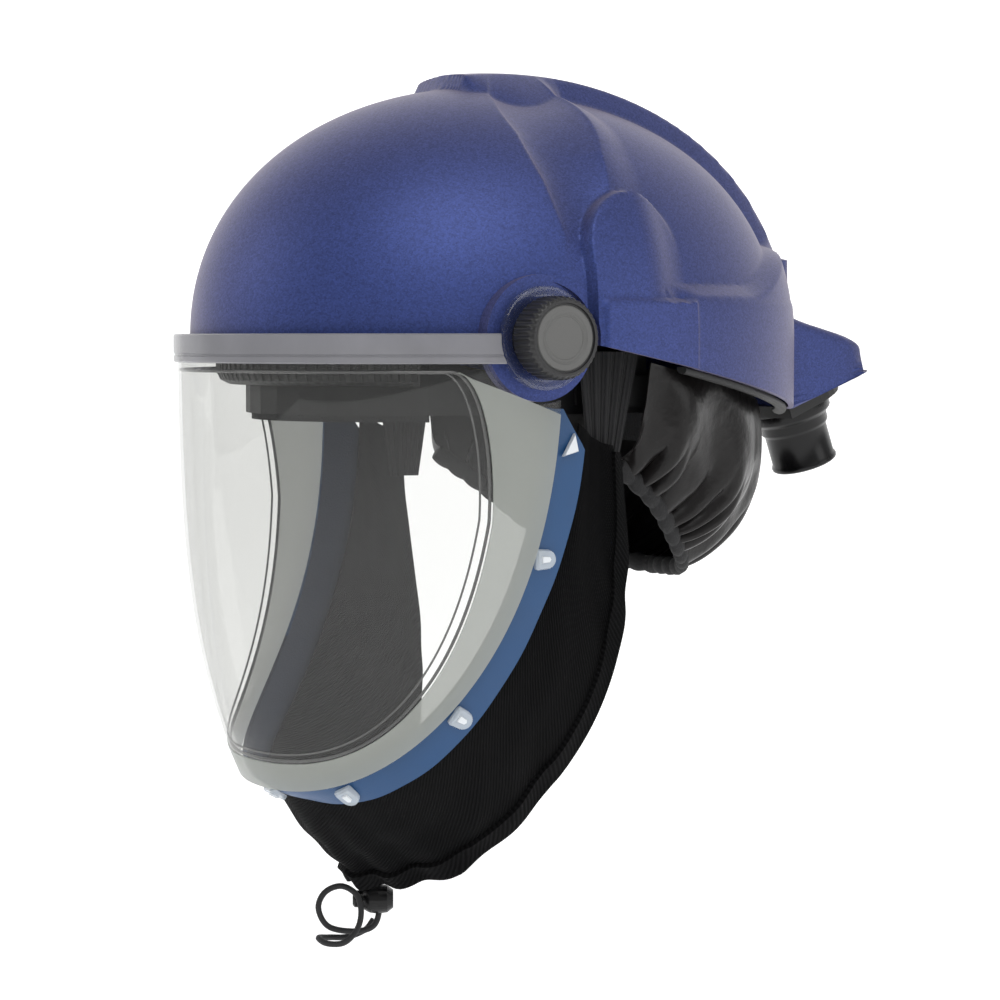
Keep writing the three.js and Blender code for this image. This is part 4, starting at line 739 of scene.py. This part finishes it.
# Painted glint: a light grey piece set on each clear clip stands for its white highlight. The same finish
# colours the white hooks.
white_and_painted_glint = finish_of("white plastic and painted glint", (0.7, 0.73, 0.76), 0.2, grain=0.1, grain_size=0.001)
for k, turn in enumerate((0.8, 0.49, 0.18), 1):
    for side, word in ((1, "left"), (-1, "right")):
        body = clip(f"gasket_clip_{k}_{word}_clear", side * turn, 0.12, rim_of_clip, 2.4)
        use(body, clip_clear, "visor", replaces=[f"gasket_clip_{k}_{word}"])
        # the light grey piece on the clip is a painted glint
        stud = clip(f"clip_painted_glint_{k}_{word}", side * turn, 0.12, glint_of_clip, 3.1)
        use(stud, white_and_painted_glint, "visor")
body = clip("gasket_clip_chin_clear", 0, 0.12, rim_of_clip, 2.4)
use(body, clip_clear, "visor", replaces=["gasket_clip_chin"])
# the light grey piece on the chin clip is a painted glint
use(clip("clip_stud_chin", 0, 0.12, glint_of_clip, 3.1), white_and_painted_glint, "visor")
for side, word in ((1, "left"), (-1, "right")):
    tri = clip(f"hook_{word}", side * 0.96, 0.3, [(-1, -5 * side), (7, -3 * side), (5.5, 5 * side)], 2.2)
    use(tri, white_and_painted_glint, "visor", replaces=[f"gasket_hook_{word}"])

# ---- face seal ---------------------------------------------------------------------------------------------
# Black twill that hangs from the gasket to the neck, gathered at the chin, with a corded casing at its edge.
# Folds are worked out from a formula.
NECK_EDGE = [(97, 44, -44), (96, 49, -97), (84, 48, -152), (64, 31, -203), (40, -4, -239), (16, -27, -250),
             (0, -34, -250)]
neck_edge = curve_points(NECK_EDGE, 400)
neck_share = np.linspace(0, 1, 400)


def neck_at(turn):
    p = np.array([np.interp(1 - abs(turn), neck_share, neck_edge[:, k]) for k in range(3)])
    return p * [1 if turn >= 0 else -1, 1, 1]


def seal_at(turn, across):
    bend, lap, out, inward, lap_in, width = gasket_at(turn)
    start = bend + out * (width - 3) + inward * 3.6
    place = start + (neck_at(turn) - start) * across
    billow = math.sin(min(across, 1) * math.pi) * 5 * (1 - abs(turn) * 0.6)
    return place + np.array([0, -0.25, -0.6]) * billow


def seal_folds(turn, across):
    """Creases that gather towards the chin, and the sag of the cloth at the sides."""
    way, low = abs(turn), min(across, 1)
    near_chin = max(0.0, 1 - way / 0.5)
    gather = math.sin(turn * 62 + 3 * math.sin(turn * 9)) * 2.8 * near_chin**1.3 * low**1.6
    sag = 2.4 * math.sin(way * 9 + across * 4.1) * math.sin(across * math.pi) * (0.35 + 0.65 * way)
    slant = way * 14 + across * 3.2 + 0.7 * math.sin(across * 5 + way * 8)
    crease = (abs((slant / math.pi) % 2 - 1) - 0.5) * 7.5 * low**1.2 * math.exp(-((way - 0.36) / 0.26) ** 2)
    ruck = 0.8 * math.sin(across * 19 + way * 31 + 2 * math.sin(turn * 17)) * low * (1 - low * 0.4)
    return gather + sag + crease + ruck


twill = bpy.data.materials.new("black twill")
twill.use_nodes = True
nodes, links = twill.node_tree.nodes, twill.node_tree.links
shader = nodes["Principled BSDF"]
shader.inputs["Base Color"].default_value = (0.008, 0.008, 0.0095, 1)
shader.inputs["Roughness"].default_value = 0.85
shader.inputs["Specular IOR Level"].default_value = 0.1
uv = nodes.new("ShaderNodeUVMap")
diagonal = nodes.new("ShaderNodeTexWave")
diagonal.wave_type = "BANDS"
diagonal.bands_direction = "DIAGONAL"
diagonal.inputs["Scale"].default_value = 210
diagonal.inputs["Distortion"].default_value = 0.6
links.new(uv.outputs["UV"], diagonal.inputs["Vector"])
bump = nodes.new("ShaderNodeBump")
bump.inputs["Strength"].default_value = 0.7
bump.inputs["Distance"].default_value = 0.0004
links.new(diagonal.outputs["Fac"], bump.inputs["Height"])
links.new(bump.outputs["Normal"], shader.inputs["Normal"])
ribs = nodes.new("ShaderNodeMix")
ribs.data_type = "RGBA"
ribs.inputs["A"].default_value = (0.0005, 0.0005, 0.0007, 1)
ribs.inputs["B"].default_value = (0.005, 0.005, 0.0055, 1)
links.new(diagonal.outputs["Fac"], ribs.inputs["Factor"])
links.new(ribs.outputs["Result"], shader.inputs["Base Color"])


def seal_grid(turns, shares, lift=0.0):
    base = np.array([[seal_at(t, s) for s in shares] for t in turns])
    along, across = np.gradient(base, axis=0), np.gradient(base, axis=1)
    normal = np.cross(along, across)
    normal /= np.linalg.norm(normal, axis=2, keepdims=True)
    mid = base[len(turns) // 2, 0] - [0, 0, -120]
    if np.sum(normal * (base - mid)) < 0:
        normal = -normal
    folds = np.array([[seal_folds(t, s) for s in shares] for t in turns])
    edge = np.minimum(1, np.array(shares) / 0.25)
    return base + normal * (folds * edge + lift)[..., None]


turns = np.linspace(-0.985, 0.985, 320)
seal = plate("face_seal_cloth", seal_grid(turns, np.linspace(0, 0.95, 60)), 1.0, uv_size=(0.66, 0.11))
use(seal, twill, "visor", replaces=["face_seal"])
casing = plate("casing_cloth", seal_grid(np.linspace(-0.975, 0.975, 320), np.linspace(0.9, 1.06, 12), 1.2),
               2.4, uv_size=(0.62, 0.012))
use(casing, twill, "visor", replaces=["drawcord_casing"])

# a topstitched channel along the gasket edge, and a patch seam near the neck edge
thread = finish_of("sewing thread", (0.03, 0.03, 0.032), 0.7, grain=0.5, grain_size=0.0004)
for name, share in (("seam_near_the_gasket", 0.2), ("seam_near_the_neck", 0.84)):
    track = seal_grid(np.linspace(-0.97, 0.97, 420), [share - 0.01, share, share + 0.01], 0.35)[:, 1] / 1000
    points, faces = [], []
    for k in range(0, len(track) - 3, 2):
        a, b = track[k], track[k + 1]
        d = (b - a) / max(np.linalg.norm(b - a), 1e-9)
        s = np.cross(d, [0.3, 0.5, 0.8])
        s /= np.linalg.norm(s)
        q = np.cross(d, s)
        first = len(points)
        for end in (a, b):
            for dx, dy in ((1, 0), (0, 1), (-1, 0), (0, -1)):
                points.append(end + s * dx * 0.00035 + q * dy * 0.00035)
        faces += [(first + i, first + (i + 1) % 4, first + 4 + (i + 1) % 4, first + 4 + i) for i in range(4)]
        faces += [(first + 3, first + 2, first + 1, first), (first + 4, first + 5, first + 6, first + 7)]
    use(outward(mesh_of(name, points, faces)), thread, "visor")

# ---- knobs -------------------------------------------------------------------------------------------------
# A ribbed black grip with a grey face disc on each pivot.
knob_side = finish_of("knob black", (0.012, 0.012, 0.013), 0.38, grain=0.15, grain_size=0.0006)
knob_face = finish_of("knob face", (0.105, 0.105, 0.102), 0.5, grain=0.35, grain_size=0.0005)
for side, word in ((1, "left"), (-1, "right")):
    x0 = 111.6
    count, radius = 720, 18.0
    rings = []
    for depth, shrink, ribs in ((0.0, 0.8, 0), (0.6, 0.15, 0.4), (1.6, 0, 1), (11.4, 0, 1),
                                (12.8, 0.35, 0.7), (13.8, 1.0, 0.2), (14.5, 1.9, 0),
                                (14.5, 3.0, 0), (13.7, 3.2, 0), (13.7, 3.8, 0), (12.3, 3.8, 0)):
        a = np.linspace(0, 2 * np.pi, count, endpoint=False)
        tooth = np.clip(np.abs(((a / (2 * np.pi) * 40) % 1) - 0.5) * 4 - 0.55, 0, 1)
        r = radius - shrink - 0.85 * ribs * (1 - tooth)
        rings.append(np.stack([np.full(count, side * (x0 + depth)), r * np.cos(a), r * np.sin(a)], 1))
    use(loft("knob_grip_" + word, rings), knob_side, "knob_" + word, replaces=["knob_" + word])
    cap = lathe("knob_face_" + word, [(0, 12.4), (14.1, 12.4), (14.1, 13.75), (13.7, 14.15), (11.4, 14.15),
                                      (10.9, 13.75), (10.2, 13.6),
                                      (9.9, 13.75), (9.4, 13.75), (9.1, 13.45), (0, 13.35)],
                                      (side * x0, 0, 0), (side, 0, 0))
    use(cap, knob_face, "knob_" + word, replaces=["knob_cap_" + word])

# ---- inside the helmet -------------------------------------------------------------------------------------
# The ribbed brow duct is modelled anew. The rest keeps its CAD shape and gets its finish here.
duct = []
for a in np.radians(np.linspace(-62, 62, 400)):
    groove = 0.9 * (np.sin(np.degrees(a) * 1.9) > 0.2)
    outline = [(0, -1), (0.0 + groove, -3), (0.0 + groove, -15), (2, -19), (6, -21), (11, -21), (11, -1)]
    duct.append([((90 - i) * math.sin(a), -(95 - i) * math.cos(a), z) for i, z in outline])
use(loft("brow_duct_ribbed", duct), matt_black, "helmet", replaces=["brow_duct"])
padding = finish_of("padding cloth", (0.012, 0.012, 0.013), 0.9, grain=0.9, grain_size=0.0012)
webbing = finish_of("webbing", (0.011, 0.011, 0.012), 0.85, grain=0.9, grain_size=0.0009)
for node, material in (("inner_liner", matt_black), ("headband", matt_black), ("nape_band", matt_black),
                       ("ratchet_housing", matt_black),
                       ("ratchet_knob", knob_face), ("hanger_plate_left", matt_black),
                       ("hanger_plate_right", matt_black),
                       ("crown_strap_cross", webbing), ("crown_strap_fore", webbing),
                       ("plenum_seal_left", padding),
                       ("plenum_seal_right", padding), ("pivot_washer_left", matt_black),
                       ("pivot_washer_right", matt_black),
                       ("brow_pad", padding), ("nape_pad", padding), ("crown_pad", padding),
                       ("visor_frame", band_finish)):
    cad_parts[node].data.materials.clear()
    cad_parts[node].data.materials.append(material)
steel = finish_of("turned steel", (0.62, 0.63, 0.64), 0.28, metal=1.0, grain=0.1, grain_size=0.0005)
for word in ("left", "right"):
    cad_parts["pivot_stud_" + word].data.materials.clear()
    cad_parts["pivot_stud_" + word].data.materials.append(steel)

# ---- neck cape ---------------------------------------------------------------------------------------------
# Coated nylon hung from the rear rim and gathered into an elastic hem.
CAPE_INSET, CAPE_FRONT = 13.0, 99.0
CAPE_HEM = [(82, 58, -58), (76, 82, -75), (60, 107, -98), (35, 127, -110), (0, 136, -113)]
cape_hem = curve_points(CAPE_HEM, 300)


def hem_at(u):
    p = np.array([np.interp(1 - abs(2 * u - 1), np.linspace(0, 1, 300), cape_hem[:, k]) for k in range(3)])
    return p * [-1 if u < 0.5 else 1, 1, 1]


def cape_at(u, v):
    phi = math.radians(360 - CAPE_FRONT + (2 * CAPE_FRONT - 360) * u)
    top = dome_at(phi, CAPE_INSET)
    hem = hem_at(u)
    away = np.array([top[0], top[1] - 90, 0])
    away = away / np.linalg.norm(away) * 12 * math.sin(math.pi * u)
    belly = np.array([top[0], top[1], top[2] + (hem[2] - top[2]) * 0.75]) + away
    return top * (1 - v) ** 2 + belly * 2 * v * (1 - v) + hem * v**2


columns, rows = 460, 84
us, vs = np.linspace(0, 1, columns), np.linspace(0, 0.985, rows)
base = np.array([[cape_at(u, v) for v in vs] for u in us])
normal = np.cross(np.gradient(base, axis=0), np.gradient(base, axis=1))
normal /= np.linalg.norm(normal, axis=2, keepdims=True)
if np.sum(normal * (base - [0, 90, -60])) < 0:
    normal = -normal
U, W = np.meshgrid(us, vs, indexing="ij")
fine = np.abs(np.sin(np.pi * 27 * (U + 0.012 * np.sin(U * 40) + 0.01 * W * np.sin(U * 23)))) ** 0.75 - 0.6
broad = np.sin(U * 2 * np.pi * 9 + 1.5 * np.sin(U * 12) + W * 1.4) * 0.6
broad += np.sin(U * 2 * np.pi * 5.3 + 2 - W) * 0.5
folds = 5.6 * fine * ramp(W, 0.35, 0.96) + 4.2 * broad * np.sin(np.pi * np.clip(W * 1.02, 0, 1)) ** 0.7
folds += 0.8 * np.sin(U * 83 + W * 9) * ramp(W, 0.2, 0.5) * (1 - ramp(W, 0.6, 0.95))
cape_points = base + normal * folds[..., None]
nylon = bpy.data.materials.new("coated nylon")
nylon.use_nodes = True
nodes, links = nylon.node_tree.nodes, nylon.node_tree.links
shader = nodes["Principled BSDF"]
shader.inputs["Base Color"].default_value = (0.007, 0.006, 0.006, 1)
shader.inputs["Roughness"].default_value = 0.3
shader.inputs["Specular IOR Level"].default_value = 0.24
shader.inputs["Coat Weight"].default_value = 0.04
shader.inputs["Coat Roughness"].default_value = 0.3
place = nodes.new("ShaderNodeTexCoord")
crinkle = nodes.new("ShaderNodeTexNoise")
crinkle.inputs["Scale"].default_value = 130
crinkle.inputs["Detail"].default_value = 5
links.new(place.outputs["Object"], crinkle.inputs["Vector"])
bump = nodes.new("ShaderNodeBump")
bump.inputs["Strength"].default_value = 0.35
bump.inputs["Distance"].default_value = 0.002
links.new(crinkle.outputs["Fac"], bump.inputs["Height"])
links.new(bump.outputs["Normal"], shader.inputs["Normal"])
cape = plate("cape_cloth", cape_points, 0.7, uv_size=(0.5, 0.12))
use(cape, nylon, "helmet", replaces=["neck_cape"])
hem_cloth = finish_of("elastic hem", (0.012, 0.012, 0.013), 0.85, grain=0.9, grain_size=0.0011)
rings = []
for u in np.linspace(0, 1, 420):
    centre, ahead = hem_at(u), hem_at(min(u + 0.004, 1)) - hem_at(max(u - 0.004, 0))
    ahead /= np.linalg.norm(ahead)
    out = np.array([centre[0], centre[1] - 70, 0])
    out -= ahead * np.dot(out, ahead)
    out /= np.linalg.norm(out)
    up = np.cross(ahead, out)
    r = 2.6 + 0.9 * abs(math.sin(u * 27 * math.pi)) ** 0.8
    rings.append([centre + (out * math.cos(a) * r + up * math.sin(a) * (r + 1.2))
                  for a in np.linspace(0, 2 * math.pi, 14, endpoint=False)])
hem_roll = use(loft("cape_hem_elastic", rings), hem_cloth, "helmet", replaces=["cape_hem"])

# ---- ribbed knit panels behind the pivots ------------------------------------------------------------------
# A short stretched panel on each side closes the gap between the cape and the pivot.
knit = bpy.data.materials.new("ribbed knit")
knit.use_nodes = True
nodes, links = knit.node_tree.nodes, knit.node_tree.links
shader = nodes["Principled BSDF"]
shader.inputs["Roughness"].default_value = 0.9
shader.inputs["Base Color"].default_value = (0.008, 0.008, 0.009, 1)
uv = nodes.new("ShaderNodeUVMap")
wale = nodes.new("ShaderNodeTexWave")
wale.bands_direction = "X"
wale.inputs["Scale"].default_value = 170
links.new(uv.outputs["UV"], wale.inputs["Vector"])
bump = nodes.new("ShaderNodeBump")
bump.inputs["Strength"].default_value = 0.9
bump.inputs["Distance"].default_value = 0.0006
links.new(wale.outputs["Fac"], bump.inputs["Height"])
links.new(bump.outputs["Normal"], shader.inputs["Normal"])
for side, word in ((1, "left"), (-1, "right")):
    grid = []
    for u in np.linspace(0, 1, 60):
        column = []
        for v in np.linspace(0, 1, 50):
            x = (93 - v) * (1 - u) + (91 - 4 * v) * u + 0.5 * math.sin(u * 30)
            column.append((side * x, (28 + 8 * v) * (1 - u) + (62 - 12 * v) * u, -6 - 64 * v))
        grid.append(column)
    panel = plate("ear_panel_" + word, np.array(grid), 1.2, uv_size=(0.034, 0.058))
    use(panel, knit, "helmet", replaces=["ear_gusset_" + word])

# ---- floor and light ---------------------------------------------------------------------------------------
# A white floor that sweeps up into a wall behind, lit by three soft lamps.
sweep = [(1.2 + 0.6 * math.sin(a), 0.27 - 0.6 * math.cos(a)) for a in np.linspace(0, math.pi / 2, 16)[1:]]
profile = [(-3.0, -0.33), (1.2, -0.33), *sweep, (1.8, 4.0)]
away = Vector((-0.866, 0.5))
across = Vector((0.5, 0.866))
points, faces = [], []
for d, height in profile:
    for s in (-4, 4):
        points.append((away.x * d + across.x * s, away.y * d + across.y * s, height))
faces = [(2 * k, 2 * k + 1, 2 * k + 3, 2 * k + 2) for k in range(len(profile) - 1)]
floor = mesh_of("floor", points, faces)
floor.data.shade_smooth()
floor_paper = bpy.data.materials.new("white paper")
floor_paper.use_nodes = True
floor_paper.node_tree.nodes["Principled BSDF"].inputs["Base Color"].default_value = (0.93, 0.93, 0.93, 1)
floor_paper.node_tree.nodes["Principled BSDF"].inputs["Roughness"].default_value = 0.9
floor_paper.node_tree.nodes["Principled BSDF"].inputs["Emission Color"].default_value = (1, 1, 1, 1)
floor_paper.node_tree.nodes["Principled BSDF"].inputs["Emission Strength"].default_value = 0.5
floor.data.materials.append(floor_paper)
world = bpy.data.worlds.new("studio")
bpy.context.scene.world = world
world.use_nodes = True
world.node_tree.nodes["Background"].inputs["Color"].default_value = (1, 1, 1, 1)
world.node_tree.nodes["Background"].inputs["Strength"].default_value = 0.42
for name, place, size, power in (("key", (1.0, -0.3, 1.1), 1.0, 10), ("side", (1.5, 1.0, 0.35), 0.9, 4),
                                 ("front", (-0.5, -1.2, 0.6), 0.8, 3)):
    lamp = bpy.data.objects.new(name, bpy.data.lights.new(name, "AREA"))
    lamp.data.size = size
    lamp.data.energy = power
    lamp.location = place
    lamp.rotation_euler = (Vector((0, 0.05, -0.05)) - Vector(place)).to_track_quat("-Z", "Y").to_euler()
    bpy.context.scene.collection.objects.link(lamp)
